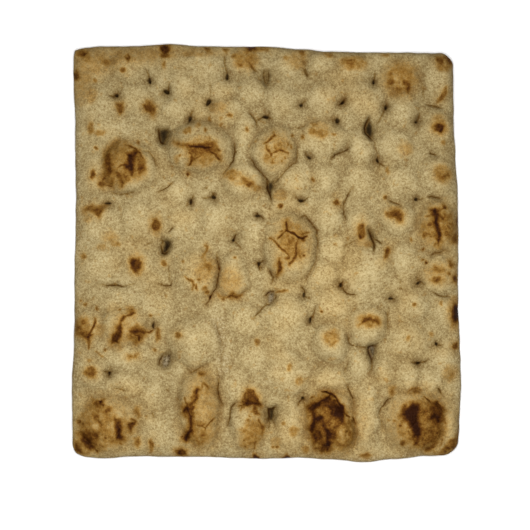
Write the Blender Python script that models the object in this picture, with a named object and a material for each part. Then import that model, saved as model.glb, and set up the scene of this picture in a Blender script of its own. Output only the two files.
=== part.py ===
"""Whole wheat flatbread: a square, docked and oven-blistered bread, modelled as one closed solid.

The script works in millimetres and turns the finished mesh into metres at the end. +Z is up.
The origin is the centre of the underside, which lies flat on z = 0. +X runs across the bread
and +Y along its longer side.

The top is a sheet of square cells. Round blisters and flatter pillows lift it, narrow docking
pits and small steam holes press it down nearly to the underside, and folds run between them.
The cells are halved once wherever a pit or a fold needs them.
"""

import math
from dataclasses import dataclass

import bmesh
import bpy
import numpy as np
from mathutils import Matrix

# Driving dimensions, in millimetres.
WIDTH = 155.0
LENGTH = 166.0
DOUGH_THICKNESS = 5.0
LOWEST_TOP = 1.0
RIM_RADIUS = 2.8
CORNER_RADIUS = 6.0
# How round each corner is, from the left one to the right one: 1 is a full arc, 0 is square.
NEAR_ROUNDNESS = (0.82, 1.0)
FAR_ROUNDNESS = (0.55, 1.0)
CELL = 3.2
METRES_PER_MM = 0.001

# The rim, from the top sheet outwards and down: share of the rim radius that the row stands
# inside the outline, and share of the dough's thickness that it stands above the underside.
RIM_ROWS = ((0.30, 0.80), (0.0, 0.45), (0.22, 0.13), (0.62, 0.0))
EDGE_DROP = 0.7
EDGE_DROP_REACH = 7.0
OUTLINE_BLEND = 14.0

# How far each side stands outside (+) or inside (-) the plain rectangle, at even steps along it.
# The sides run from -Y to +Y, the ends from -X to +X.
LEFT_SIDE = (0.1, 0.2, 0.5, -0.35, -0.6, -0.5, -0.85, -1.05, -0.7, -0.65, 0.0, 0.3)
RIGHT_SIDE = (-0.7, 0.2, 0.85, 0.45, -0.2, -0.25, -0.1, -0.25, -1.1, -1.85, -1.95, -2.2)
NEAR_END = (-1.3, -0.45, -1.3, -1.1, -1.1, -0.6, -0.3, -0.7, -0.1, 1.1, -0.15, -1.4, -1.9)
FAR_END = (-0.5, 0.25, 0.4, 1.2, 0.35, 0.1, 0.2, -0.8, -1.9, -2.15, -2.2, -2.45, -2.5)

# Docking pits: how wide the soft hollow round one is, and how deep it dips.
HOLLOW_REACH = 5.2
HOLLOW_DIP = 1.3
# Steam holes: a small hollow each.
STEAM_HOLE_REACH = 2.1
STEAM_HOLE_DIP = 2.3
FOLD_REACH = 1.9
FOLD_DIP = 1.2
REFINE_ROUND_PIT = 2.0
REFINE_ROUND_HOLE = 1.9
REFINE_ROUND_FOLD = 1.8
# A larger value makes the valley where two blisters meet sharper.
VALLEY_SHARPNESS = 5.0
# The domes' heights from the rises given for them: a factor, and a power that favours the
# taller ones. The last value is how square-shouldered they are.
DOME_SWELL = 1.25
DOME_GAIN = 1.2
DOME_POWER = 2.2

# The slow waves of the whole sheet: height, and length along each axis.
WAVES = ((0.22, 61.0, 83.0), (0.16, 37.0, 49.0), (0.12, -29.0, 31.0))

CRUST_COLOUR = (0.37, 0.26, 0.11, 1.0)
CRUST_ROUGHNESS = 0.85


@dataclass(frozen=True)
class Blister:
    """A dome: its middle, its half width and half length, its height and its turn in degrees."""

    x: float
    y: float
    half_width: float
    half_length: float
    rise: float
    turn: float = 0.0


@dataclass(frozen=True)
class DockingPit:
    """A pit pressed through the dough: its middle, half width, half length and turn in degrees."""

    x: float
    y: float
    half_width: float
    half_length: float
    turn: float = 0.0


BLISTERS = (
    Blister(-69.0, 74.0, 7.0, 7.0, 0.9),
    Blister(-55.0, 75.0, 6.5, 6.5, 0.9),
    Blister(-26.0, 75.0, 8.0, 6.0, 1.0),
    Blister(-9.5, 76.5, 6.0, 5.0, 0.9),
    Blister(8.5, 76.0, 6.5, 5.5, 1.1),
    Blister(22.0, 76.0, 6.0, 5.0, 1.1),
    Blister(35.0, 74.5, 6.5, 5.5, 1.3),
    Blister(54.2, 71.0, 7.4, 7.0, 1.5),
    Blister(69.0, 70.0, 6.2, 9.0, 1.4),
    Blister(-68.0, 60.0, 8.0, 8.0, 0.8),
    Blister(-53.5, 62.0, 6.5, 6.5, 0.9),
    Blister(-33.5, 67.5, 6.0, 6.5, 0.9),
    Blister(-37.0, 57.5, 5.5, 4.5, 0.8),
    Blister(-15.5, 57.0, 7.0, 5.5, 1.3),
    Blister(-17.0, 65.5, 5.5, 4.5, 0.9),
    Blister(-6.5, 64.5, 6.0, 6.5, 1.2),
    Blister(5.5, 61.5, 7.2, 7.0, 1.3),
    Blister(22.5, 61.5, 7.2, 7.8, 1.4),
    Blister(39.5, 61.0, 7.8, 8.2, 1.4),
    Blister(55.0, 57.0, 6.8, 8.0, 1.5),
    Blister(68.5, 49.5, 7.2, 8.8, 1.5),
    Blister(-63.0, 50.5, 8.0, 5.5, 0.8),
    Blister(-54.8, 34.4, 11.0, 11.0, 2.9),
    Blister(-27.0, 42.2, 13.8, 11.0, 3.5, -5.0),
    Blister(-9.0, 49.0, 4.6, 8.0, 1.4),
    Blister(3.0, 41.3, 9.4, 10.8, 2.9),
    Blister(22.3, 45.3, 10.0, 8.4, 2.2),
    Blister(37.8, 42.5, 5.4, 8.5, 1.4),
    Blister(51.8, 43.0, 7.4, 7.8, 1.4),
    Blister(-69.5, 32.0, 5.0, 8.0, 0.9),
    Blister(-35.5, 25.0, 6.0, 5.0, 0.9),
    Blister(-9.8, 29.0, 8.6, 7.4, 1.9, 12.0),
    Blister(12.0, 29.8, 7.6, 7.6, 1.7),
    Blister(23.8, 29.5, 6.4, 7.0, 1.3),
    Blister(36.8, 28.8, 7.4, 7.8, 1.4),
    Blister(54.8, 28.5, 7.4, 7.2, 1.3),
    Blister(68.5, 31.0, 7.2, 7.6, 1.4),
    Blister(-66.0, 10.5, 8.5, 7.5, 1.0),
    Blister(-52.0, 13.5, 7.0, 7.5, 1.0),
    Blister(-33.0, 12.5, 6.5, 7.5, 0.9),
    Blister(-20.0, 14.0, 6.5, 6.5, 1.1),
    Blister(-5.5, 7.0, 5.5, 7.5, 1.1),
    Blister(9.4, 2.2, 11.4, 14.8, 3.2, -4.0),
    Blister(24.8, 15.0, 6.0, 8.2, 1.4),
    Blister(37.8, 12.5, 6.0, 8.5, 1.4),
    Blister(52.8, 13.5, 7.4, 7.4, 1.8),
    Blister(68.8, 10.0, 8.0, 11.0, 2.4),
    Blister(-66.0, -5.0, 9.0, 6.5, 0.8),
    Blister(-51.5, -3.5, 6.5, 7.5, 1.0),
    Blister(-28.2, -8.5, 8.8, 10.0, 1.8),
    Blister(-13.2, -8.8, 6.6, 9.4, 2.1),
    Blister(27.0, 1.5, 5.6, 6.5, 1.2),
    Blister(23.0, -8.5, 6.2, 6.8, 1.4),
    Blister(40.5, -7.5, 9.6, 10.4, 1.8),
    Blister(56.5, -3.5, 7.0, 8.0, 1.5),
    Blister(69.0, -8.5, 7.4, 7.8, 1.4),
    Blister(-60.0, -20.0, 8.5, 5.0, 0.9),
    Blister(-44.0, -21.5, 7.5, 6.0, 0.9),
    Blister(27.0, -21.0, 7.4, 6.4, 1.4),
    Blister(58.6, -21.5, 7.4, 6.4, 1.3),
    Blister(72.0, -24.5, 5.0, 6.4, 1.2),
    Blister(-71.0, -30.0, 6.4, 7.6, 1.6),
    Blister(-57.5, -29.3, 9.4, 8.4, 2.0),
    Blister(-56.0, -42.0, 11.0, 4.6, 0.9),
    Blister(-28.6, -35.4, 10.4, 10.8, 2.4),
    Blister(-8.5, -27.5, 7.6, 7.6, 1.4),
    Blister(-6.0, -42.5, 7.0, 6.0, 1.0),
    Blister(8.2, -26.5, 9.0, 10.2, 1.7),
    Blister(25.6, -36.4, 7.8, 8.8, 2.6),
    Blister(40.6, -29.5, 8.2, 8.8, 2.5),
    Blister(56.8, -35.0, 8.6, 7.8, 1.6),
    Blister(71.0, -43.0, 5.6, 8.5, 1.3),
    Blister(37.0, -45.5, 4.4, 6.6, 1.3),
    Blister(-70.0, -47.5, 6.0, 6.5, 1.0),
    Blister(-56.0, -53.0, 9.0, 5.2, 1.0),
    Blister(-45.8, -57.5, 4.6, 6.8, 0.9),
    Blister(-12.4, -53.0, 5.4, 7.4, 1.2),
    Blister(8.6, -48.4, 9.4, 9.6, 1.9),
    Blister(26.0, -50.6, 7.2, 5.0, 1.4),
    Blister(47.2, -48.5, 4.8, 6.4, 1.2),
    Blister(56.2, -49.5, 5.4, 5.6, 1.2),
    Blister(66.0, -51.0, 5.4, 5.6, 1.1),
    Blister(-63.0, -68.6, 11.6, 11.4, 2.6),
    Blister(-43.5, -71.5, 6.2, 8.5, 0.9),
    Blister(-27.0, -62.8, 8.4, 15.6, 3.0, -8.0),
    Blister(-5.5, -57.0, 5.0, 5.0, 1.4),
    Blister(-7.2, -69.6, 7.4, 10.4, 2.0),
    Blister(9.8, -69.4, 6.6, 10.4, 1.9),
    Blister(25.6, -68.0, 10.4, 13.2, 3.4, -8.0),
    Blister(40.2, -63.0, 5.2, 15.5, 1.4),
    Blister(59.2, -67.2, 12.8, 12.4, 3.0),
    Blister(73.6, -70.0, 3.4, 8.0, 1.3),
)

DOCKING_PITS = (
    DockingPit(-41.2, 47.1, 2.2, 3.9),
    DockingPit(0.0, 70.6, 1.8, 4.2),
    DockingPit(41.4, 49.4, 2.4, 4.3),
    DockingPit(1.4, 26.4, 2.0, 3.6),
    DockingPit(-40.6, 2.4, 2.6, 3.3),
    DockingPit(42.6, 6.9, 1.8, 4.3, -20.0),
    DockingPit(2.0, -17.6, 2.1, 3.0),
    DockingPit(-40.1, -43.0, 2.6, 3.8),
    DockingPit(42.3, -39.8, 2.0, 3.3),
    DockingPit(1.8, -64.5, 1.8, 3.6),
)

STEAM_HOLES = (
    (-60.3, 63.2), (-47.0, 69.5), (-40.3, 64.8), (-30.5, 54.2), (-15.8, 71.0), (16.3, 72.3),
    (-23.3, 61.0), (13.8, 59.5), (-2.5, 54.0), (28.7, 53.2), (30.3, 60.5), (43.7, 69.0),
    (48.2, 58.7), (60.7, 52.7), (66.7, 39.5), (45.5, 36.0), (-63.6, 19.6), (-40.4, 25.9),
    (-21.2, 22.7), (14.2, 21.1), (-3.0, 14.8), (-13.0, 5.5), (-3.0, -4.5), (60.4, 21.1),
    (61.2, -12.0), (30.1, -13.0), (50.1, -18.4), (15.2, -16.3), (-61.0, -13.3), (-40.0, -13.2),
    (-63.6, -48.5), (68.4, -36.7), (14.6, -58.6), (61.2, -44.5),
)

FOLDS = (
    ((-13.0, 47.0), (-12.7, 40.0), (-15.0, 33.5), (-19.0, 29.5)),
    ((-6.5, 38.0), (-1.5, 31.5), (1.4, 27.0), (9.0, 34.0), (12.5, 38.0)),
    ((14.5, 16.0), (19.5, 10.0), (21.0, 2.0)),
    ((-19.5, -2.0), (-19.4, -11.0), (-24.0, -21.0)),
    ((-20.0, -29.0), (-17.2, -37.5), (-18.0, -47.0), (-19.5, -54.5), (-16.5, -61.5)),
    ((49.0, -22.5), (48.2, -31.0), (43.5, -37.0)),
    ((31.0, 21.5), (31.5, 14.0)),
    ((50.5, -57.5), (45.2, -61.5), (45.5, -67.5)),
)


def smooth_step(values: np.ndarray) -> np.ndarray:
    """Rises smoothly from 0 to 1 as the values go from 0 to 1."""
    held = np.clip(values, 0.0, 1.0)
    return held * held * (3.0 - 2.0 * held)


def oval_distance(x: np.ndarray, y: np.ndarray, oval) -> np.ndarray:
    """Distance from an oval's middle in units of its half sizes: 1 on its outline."""
    turn = math.radians(oval.turn)
    along = (x - oval.x) * math.cos(turn) - (y - oval.y) * math.sin(turn)
    across = (x - oval.x) * math.sin(turn) + (y - oval.y) * math.cos(turn)
    return np.hypot(along / oval.half_width, across / oval.half_length)


def fold_distance(x: np.ndarray, y: np.ndarray, fold) -> np.ndarray:
    """Distance in millimetres from each point to a fold's run of straight pieces."""
    nearest = np.full(len(x), np.inf)
    for (x0, y0), (x1, y1) in zip(fold, fold[1:]):
        run_x, run_y = x1 - x0, y1 - y0
        share = ((x - x0) * run_x + (y - y0) * run_y) / (run_x ** 2 + run_y ** 2)
        share = np.clip(share, 0.0, 1.0)
        gap = np.hypot(x - x0 - share * run_x, y - y0 - share * run_y)
        nearest = np.minimum(nearest, gap)
    return nearest


def lifted_height(x: np.ndarray, y: np.ndarray) -> np.ndarray:
    """Height of the dough with its slow waves and blisters, before anything is pressed in."""
    height = np.full(len(x), DOUGH_THICKNESS)
    for size, length_x, length_y in WAVES:
        height += size * np.sin(2.0 * math.pi * (x / length_x + y / length_y))
    total = np.ones(len(x))
    for blister in BLISTERS:
        height_there = DOME_SWELL * blister.rise ** DOME_GAIN
        dome = height_there * (1.0 - oval_distance(x, y, blister) ** DOME_POWER)
        total += np.exp(VALLEY_SHARPNESS * np.maximum(dome, -2.0))
    return height + np.log(total) / VALLEY_SHARPNESS


def top_height(x: np.ndarray, y: np.ndarray) -> np.ndarray:
    """Height of the finished top: blisters, less the folds, steam holes and docking pits."""
    height = lifted_height(x, y)
    for fold in FOLDS:
        height -= FOLD_DIP * np.exp(-((fold_distance(x, y, fold) / FOLD_REACH) ** 2))
    for hole_x, hole_y in STEAM_HOLES:
        gap = np.hypot(x - hole_x, y - hole_y)
        height -= STEAM_HOLE_DIP * np.exp(-((gap / STEAM_HOLE_REACH) ** 2))
    for pit in DOCKING_PITS:
        gap = np.hypot(x - pit.x, y - pit.y)
        height -= HOLLOW_DIP * np.exp(-((gap / HOLLOW_REACH) ** 2))
        pressed = 1.0 - smooth_step(oval_distance(x, y, pit) - 0.35)
        height -= (height - LOWEST_TOP) * pressed
    return np.maximum(height, LOWEST_TOP)


def side_offset(along: np.ndarray, half_length: float, offsets) -> np.ndarray:
    """Offset of one side at places along it, read smoothly from its evenly spaced values."""
    place = (along / half_length + 1.0) / 2.0 * (len(offsets) - 1)
    place = np.clip(place, 0.0, len(offsets) - 1.001)
    step = place.astype(int)
    values = np.asarray(offsets)
    return values[step] + (values[step + 1] - values[step]) * smooth_step(place - step)


def on_outline(u: np.ndarray, v: np.ndarray, inset: np.ndarray):
    """Places the sheet's points, given from -1 to 1, in the bread's outline less an inset."""
    middle_x = WIDTH / 2.0 - CORNER_RADIUS
    middle_y = LENGTH / 2.0 - CORNER_RADIUS
    reach = CORNER_RADIUS - RIM_RADIUS
    beyond_x = np.maximum(np.abs(u) * (middle_x + reach) - middle_x, 0.0) / reach
    beyond_y = np.maximum(np.abs(v) * (middle_y + reach) - middle_y, 0.0) / reach
    corners = np.array((NEAR_ROUNDNESS, FAR_ROUNDNESS))
    roundness = corners[(v > 0.0).astype(int), (u > 0.0).astype(int)]
    round_x = beyond_x * np.sqrt(1.0 - roundness * beyond_y ** 2 / 2.0)
    round_y = beyond_y * np.sqrt(1.0 - roundness * beyond_x ** 2 / 2.0)
    inner_x = np.minimum(np.abs(u) * (middle_x + reach), middle_x)
    inner_y = np.minimum(np.abs(v) * (middle_y + reach), middle_y)
    x = np.sign(u) * (inner_x + round_x * (CORNER_RADIUS - inset))
    y = np.sign(v) * (inner_y + round_y * (CORNER_RADIUS - inset))

    near_left = smooth_step((-x - WIDTH / 2.0) / OUTLINE_BLEND + 1.0)
    near_right = smooth_step((x - WIDTH / 2.0) / OUTLINE_BLEND + 1.0)
    near_front = smooth_step((-y - LENGTH / 2.0) / OUTLINE_BLEND + 1.0)
    near_back = smooth_step((y - LENGTH / 2.0) / OUTLINE_BLEND + 1.0)
    move_x = near_right * side_offset(y, LENGTH / 2.0, RIGHT_SIDE)
    move_x -= near_left * side_offset(y, LENGTH / 2.0, LEFT_SIDE)
    move_y = near_back * side_offset(x, WIDTH / 2.0, FAR_END)
    move_y -= near_front * side_offset(x, WIDTH / 2.0, NEAR_END)
    return x + move_x, y + move_y


def edge_gap(x: np.ndarray, y: np.ndarray) -> np.ndarray:
    """Rough distance from the outline, for the thinning of the dough towards its edge."""
    return np.minimum(WIDTH / 2.0 - np.abs(x), LENGTH / 2.0 - np.abs(y))


def needs_fine_cells(x: np.ndarray, y: np.ndarray) -> np.ndarray:
    """Marks the places that lie in or beside a docking pit, a steam hole or a fold."""
    fine = np.zeros(len(x), bool)
    for pit in DOCKING_PITS:
        reach = 1.0 + REFINE_ROUND_PIT / min(pit.half_width, pit.half_length)
        fine |= oval_distance(x, y, pit) < reach
    for hole_x, hole_y in STEAM_HOLES:
        fine |= np.hypot(x - hole_x, y - hole_y) < REFINE_ROUND_HOLE
    for fold in FOLDS:
        fine |= fold_distance(x, y, fold) < REFINE_ROUND_FOLD
    return fine


def make_top_sheet() -> bmesh.types.BMesh:
    """Makes the flat sheet, from -1 to 1 each way, with smaller cells at the pits and folds."""
    sheet = bmesh.new()
    across = round((WIDTH - 2.0 * RIM_RADIUS) / CELL)
    along = round((LENGTH - 2.0 * RIM_RADIUS) / CELL)
    bmesh.ops.create_grid(sheet, x_segments=across, y_segments=along, size=1.0)
    middles = np.array([face.calc_center_median() for face in sheet.faces])
    x, y = on_outline(middles[:, 0], middles[:, 1], np.full(len(middles), RIM_RADIUS))
    fine = needs_fine_cells(x, y)
    sheet.faces.ensure_lookup_table()
    edges = {edge for index in np.flatnonzero(fine) for edge in sheet.faces[index].edges}
    inner = sorted((edge for edge in edges if not edge.is_boundary), key=lambda edge: edge.index)
    bmesh.ops.subdivide_edges(sheet, edges=inner, cuts=1, use_grid_fill=True)
    return sheet


def add_rim(sheet: bmesh.types.BMesh) -> bmesh.types.BMLayerItem:
    """Adds the rows of the rim and closes the underside. Returns the layer that numbers the rows."""
    row_of = sheet.verts.layers.int.new("rim_row")
    edges = [edge for edge in sheet.edges if edge.is_boundary]
    for row in range(1, len(RIM_ROWS) + 1):
        added = bmesh.ops.extrude_edge_only(sheet, edges=edges)["geom"]
        edges = [item for item in added if isinstance(item, bmesh.types.BMEdge)]
        for item in added:
            if isinstance(item, bmesh.types.BMVert):
                item[row_of] = row
    edges = [edge for edge in sheet.edges if edge.is_boundary]
    bmesh.ops.edgeloop_fill(sheet, edges=edges)
    return row_of


def shape_bread(sheet: bmesh.types.BMesh, row_of: bmesh.types.BMLayerItem) -> None:
    """Moves every point of the sheet and its rim to its place, with the bread's box centred."""
    insets = np.array([RIM_RADIUS] + [share * RIM_RADIUS for share, _ in RIM_ROWS])
    levels = np.array([1.0] + [level for _, level in RIM_ROWS])
    flat = np.array([point.co for point in sheet.verts])
    row = np.array([point[row_of] for point in sheet.verts])
    x, y = on_outline(flat[:, 0], flat[:, 1], insets[row])
    x -= (x.min() + x.max()) / 2.0
    y -= (y.min() + y.max()) / 2.0
    height = top_height(x, y)
    height -= EDGE_DROP * (1.0 - smooth_step(edge_gap(x, y) / EDGE_DROP_REACH))
    z = np.where(row == 0, height, height * levels[row])
    for point, place in zip(sheet.verts, np.column_stack((x, y, z))):
        point.co = place


def crust_material() -> bpy.types.Material:
    """The pale brown, dull crust."""
    material = bpy.data.materials.new("crust")
    material.use_nodes = True
    shader = material.node_tree.nodes["Principled BSDF"]
    shader.inputs["Base Color"].default_value = CRUST_COLOUR
    shader.inputs["Roughness"].default_value = CRUST_ROUGHNESS
    shader.inputs["Metallic"].default_value = 0.0
    return material


def build_flatbread(collection: bpy.types.Collection) -> bpy.types.Object:
    """Builds the bread as one closed mesh and puts it in the collection."""
    sheet = make_top_sheet()
    row_of = add_rim(sheet)
    shape_bread(sheet, row_of)
    bmesh.ops.recalc_face_normals(sheet, faces=sheet.faces)
    bmesh.ops.triangulate(sheet, faces=sheet.faces)
    bmesh.ops.transform(sheet, matrix=Matrix.Scale(METRES_PER_MM, 4), verts=sheet.verts)
    mesh = bpy.data.meshes.new("flatbread")
    sheet.to_mesh(mesh)
    sheet.free()
    mesh.shade_smooth()
    mesh.materials.append(crust_material())
    bread = bpy.data.objects.new("flatbread", mesh)
    collection.objects.link(bread)
    return bread


def main() -> None:
    """Clears the scene and builds the flatbread in a collection of its own."""
    for old in list(bpy.data.objects):
        bpy.data.objects.remove(old, do_unlink=True)
    collection = bpy.data.collections.new("whole_wheat_flatbread")
    bpy.context.scene.collection.children.link(collection)
    build_flatbread(collection)


main()
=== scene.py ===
"""Looks of the whole wheat flatbread: a blistered, docked and scorched crust on a pale studio floor.

Places and sizes are in millimetres in the bread's own frame: +X across it, +Y along its longer
side, +Z up, with the origin under its middle. A finished mesh is turned into metres.
"""

import logging
import math
from dataclasses import dataclass
from enum import Enum

import bmesh
import bpy
import numpy as np
from mathutils import Matrix, Vector


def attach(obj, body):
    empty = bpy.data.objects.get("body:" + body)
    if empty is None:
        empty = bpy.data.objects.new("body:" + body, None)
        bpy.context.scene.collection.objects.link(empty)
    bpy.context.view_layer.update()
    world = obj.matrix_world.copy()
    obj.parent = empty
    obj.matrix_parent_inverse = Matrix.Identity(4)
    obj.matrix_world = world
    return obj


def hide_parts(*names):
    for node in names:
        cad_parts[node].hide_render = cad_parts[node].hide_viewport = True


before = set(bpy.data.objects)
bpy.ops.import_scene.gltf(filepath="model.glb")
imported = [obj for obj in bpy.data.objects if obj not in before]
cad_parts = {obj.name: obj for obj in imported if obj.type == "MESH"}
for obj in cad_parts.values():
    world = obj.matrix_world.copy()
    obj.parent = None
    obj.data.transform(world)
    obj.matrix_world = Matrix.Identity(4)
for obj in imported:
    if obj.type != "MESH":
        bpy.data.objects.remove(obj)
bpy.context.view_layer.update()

METRES_PER_MM = 0.001
Route = tuple[tuple[float, float], ...]
Shade = tuple[float, float, float]
Layers = tuple[tuple[float, float, float, float], ...]
Socket = bpy.types.NodeSocket
Array = np.ndarray

# How wide a mark's edge fades, and how strongly the dough round it has browned: the share that
# every mark has, then the shares for its half size in millimetres and for that squared.
SPOT_FADE = (0.2, 0.2, 0.035)
SPOT_GLOW = (0.25, 0.45)
STREAK_FADE = (0.18, 0.35)
STREAK_GLOW = (0.25, 0.6)
STREAK_CORE = 0.9
STREAK_TAPER = 0.55

log = logging.getLogger("flatbread")


def ease(values: Array) -> Array:
    """Rises smoothly from 0 to 1 as the values go from 0 to 1."""
    held = np.clip(values, 0.0, 1.0)
    return held * held * (3.0 - 2.0 * held)


def grow(values: Array, start: float, reach: float) -> Array:
    """Grows smoothly from 0 to 1 as the values go a reach beyond the start."""
    return ease((values - start) / reach)


def fall(values: Array, start: float, reach: float) -> Array:
    """Falls smoothly from 1 to 0 as the values go a reach beyond the start."""
    return 1.0 - grow(values, start, reach)


def powers(shares: tuple[float, ...], size: float) -> float:
    """Sum of the shares, each times the next power of the size."""
    return sum(share * size ** power for power, share in enumerate(shares))


def each(kind: type, *rows: tuple) -> tuple:
    """Makes one object of a kind from each row of its sizes."""
    return tuple(kind(*row) for row in rows)


class Bake(Enum):
    """How far a patch of crust has baked, from raw dough at 0 to charcoal at 1."""

    STRAW = 0.14
    OCHRE = 0.27
    AMBER = 0.43
    RUSSET = 0.56
    BROWN = 0.68
    DARK = 0.85
    CHAR = 1.0


STRAW, OCHRE, AMBER, RUSSET, BROWN, DARK, CHAR = Bake


class Oval:
    """An upright oval that leans right by its turn."""

    x: float
    y: float
    half_width: float
    half_length: float
    turn: float

    def near(self, x: Array, y: Array, margin: float) -> Array:
        """Numbers of the places that lie in the oval or within a margin of it."""
        reach = max(self.half_width, self.half_length) + margin
        return np.flatnonzero((np.abs(x - self.x) < reach) & (np.abs(y - self.y) < reach))

    def measure(self, x: Array, y: Array) -> tuple[Array, Array]:
        """Measures from the oval's middle.

        Args:
            x: Places across the bread.
            y: Places along the bread.

        Returns:
            The distance of each place in units of the half sizes, so 1 on the outline, and its
            bearing round the oval in radians.
        """
        turn = math.radians(self.turn)
        across = (x - self.x) * math.cos(turn) - (y - self.y) * math.sin(turn)
        along = (x - self.x) * math.sin(turn) + (y - self.y) * math.cos(turn)
        across, along = across / self.half_width, along / self.half_length
        return np.hypot(across, along), np.arctan2(along, across)


class Line:
    """A run of straight pieces that joins the points of a route."""

    route: Route

    def near(self, x: Array, y: Array, margin: float) -> Array:
        """Finds the places that lie in the route's box or within a margin of it.

        Args:
            x: Places across the bread.
            y: Places along the bread.
            margin: How far outside the box still counts.

        Returns:
            The numbers of those places.
        """
        across, along = zip(*self.route)
        beside = (x > min(across) - margin) & (x < max(across) + margin)
        level = (y > min(along) - margin) & (y < max(along) + margin)
        return np.flatnonzero(beside & level)

    def measure(self, x: Array, y: Array) -> tuple[Array, Array]:
        """Measures from the line.

        Args:
            x: Places across the bread.
            y: Places along the bread.

        Returns:
            The distance of each place to the line, and how far along the line its nearest point
            lies, from 0 at the start to 1 at the end.
        """
        nearest = np.full(len(x), np.inf)
        progress = np.zeros(len(x))
        pieces = len(self.route) - 1
        for index, ((x0, y0), (x1, y1)) in enumerate(zip(self.route, self.route[1:])):
            run_x, run_y = x1 - x0, y1 - y0
            share = ((x - x0) * run_x + (y - y0) * run_y) / (run_x ** 2 + run_y ** 2)
            share = np.clip(share, 0.0, 1.0)
            gap = np.hypot(x - x0 - share * run_x, y - y0 - share * run_y)
            closer = gap < nearest
            nearest = np.where(closer, gap, nearest)
            progress = np.where(closer, (index + share) / pieces, progress)
        return nearest, progress


class Opening:
    """An opening in the dough with a soft dip round its middle."""

    x: float
    y: float

    def dip(self, x: Array, y: Array, reach: float) -> Array:
        """How far each place lies in the dip: 1 in its middle, falling away over the reach."""
        return np.exp(-(((x - self.x) ** 2 + (y - self.y) ** 2) / reach ** 2))


@dataclass(frozen=True)
class Blister(Oval):
    """A dome: its middle, its half width and half length, its height and its turn in degrees."""

    x: float
    y: float
    half_width: float
    half_length: float
    rise: float
    turn: float = 0.0


@dataclass(frozen=True)
class Pit(Oval, Opening):
    """A small hole that steam has blown in the dough."""

    x: float
    y: float
    half_width: float
    half_length: float
    turn: float = 0.0
    # Painted shade: how strongly the hole is darkened.
    shade_strength: float = 0.72
    moist: float = 0.0
    fade: float = 1.5

    def opening(self, x: Array, y: Array) -> Array:
        """Distance in units of the hole's half sizes."""
        return self.measure(x, y)[0]


class Patch(Line):
    """A patch of any shape, given by the corners of its outline."""

    corners: Route

    @property
    def route(self) -> Route:
        """The closed outline."""
        return (*self.corners, self.corners[0])

    def gap(self, x: Array, y: Array) -> Array:
        """Measures the distance outside (+) or inside (-) the patch's outline.

        Args:
            x: Places across the bread.
            y: Places along the bread.

        Returns:
            The distance of each place.
        """
        inside = np.zeros(len(x), bool)
        for (x0, y0), (x1, y1) in zip(self.route, self.route[1:]):
            if y0 != y1:
                crossing = x0 + (y - y0) / (y1 - y0) * (x1 - x0)
                inside ^= ((y0 > y) != (y1 > y)) & (x < crossing)
        gap, _ = self.measure(x, y)
        return np.where(inside, -gap, gap)


@dataclass(frozen=True)
class Hollow(Patch, Opening):
    """A docking pit: how strongly painted shade darkens it and how moist its floor is, its middle and its
    corners.
    """

    shade_strength: float
    moist: float
    x: float
    y: float
    corners: Route
    reach: float = 3.0
    fade: float = 0.9

    def opening(self, x: Array, y: Array) -> Array:
        """Distance from deep inside (0) to the outline (1) and on outwards."""
        return np.maximum(1.0 + self.gap(x, y) / self.reach, 0.0)


@dataclass(frozen=True)
class Crease(Line):
    """A narrow fold in the crust: how dark its painted shade line is and how deep it is, and its route."""

    strength: float
    route: Route
    half_width: float = 0.26


@dataclass(frozen=True)
class Scorch(Oval):
    """An oval patch that baked further than the dough round it."""

    bake: Bake
    x: float
    y: float
    half_width: float
    half_length: float
    turn: float = 0.0

    @property
    def softness(self) -> float:
        """How far the patch's edge fades, inwards and outwards."""
        return powers(SPOT_FADE, min(self.half_width, self.half_length))

    @property
    def glow(self) -> float:
        """How strongly the dough round the patch has browned, from 0 to 1."""
        return min(1.0, powers(SPOT_GLOW, min(self.half_width, self.half_length)))

    def gap(self, x: Array, y: Array) -> Array:
        """Distance outside (+) or inside (-) the patch's outline."""
        return (self.measure(x, y)[0] - 1.0) * min(self.half_width, self.half_length)


@dataclass(frozen=True)
class Streak(Line):
    """A scorched line, thinner towards its ends."""

    bake: Bake
    half_width: float
    route: Route

    @property
    def softness(self) -> float:
        """How far the line's edge fades, inwards and outwards."""
        return powers(STREAK_FADE, self.half_width)

    @property
    def glow(self) -> float:
        """How strongly the dough round the line has browned, from 0 to 1."""
        return min(1.0, powers(STREAK_GLOW, self.half_width))

    def gap(self, x: Array, y: Array) -> Array:
        """Distance outside (+) or inside (-) the line's edge."""
        gap, progress = self.measure(x, y)
        return gap - STREAK_CORE * self.half_width * (1.0 - STREAK_TAPER * (2.0 * progress - 1.0) ** 2)


@dataclass(frozen=True)
class Stain(Patch):
    """A scorched patch of any shape."""

    bake: Bake
    softness: float
    corners: Route
    glow: float = 1.0


@dataclass(frozen=True)
class LightZone(Oval):
    """A wide, faint patch of painted light (+) or painted shade (-) on the whole bread."""

    painted_light: float
    x: float
    y: float
    half_width: float
    half_length: float
    turn: float = 0.0


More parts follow.
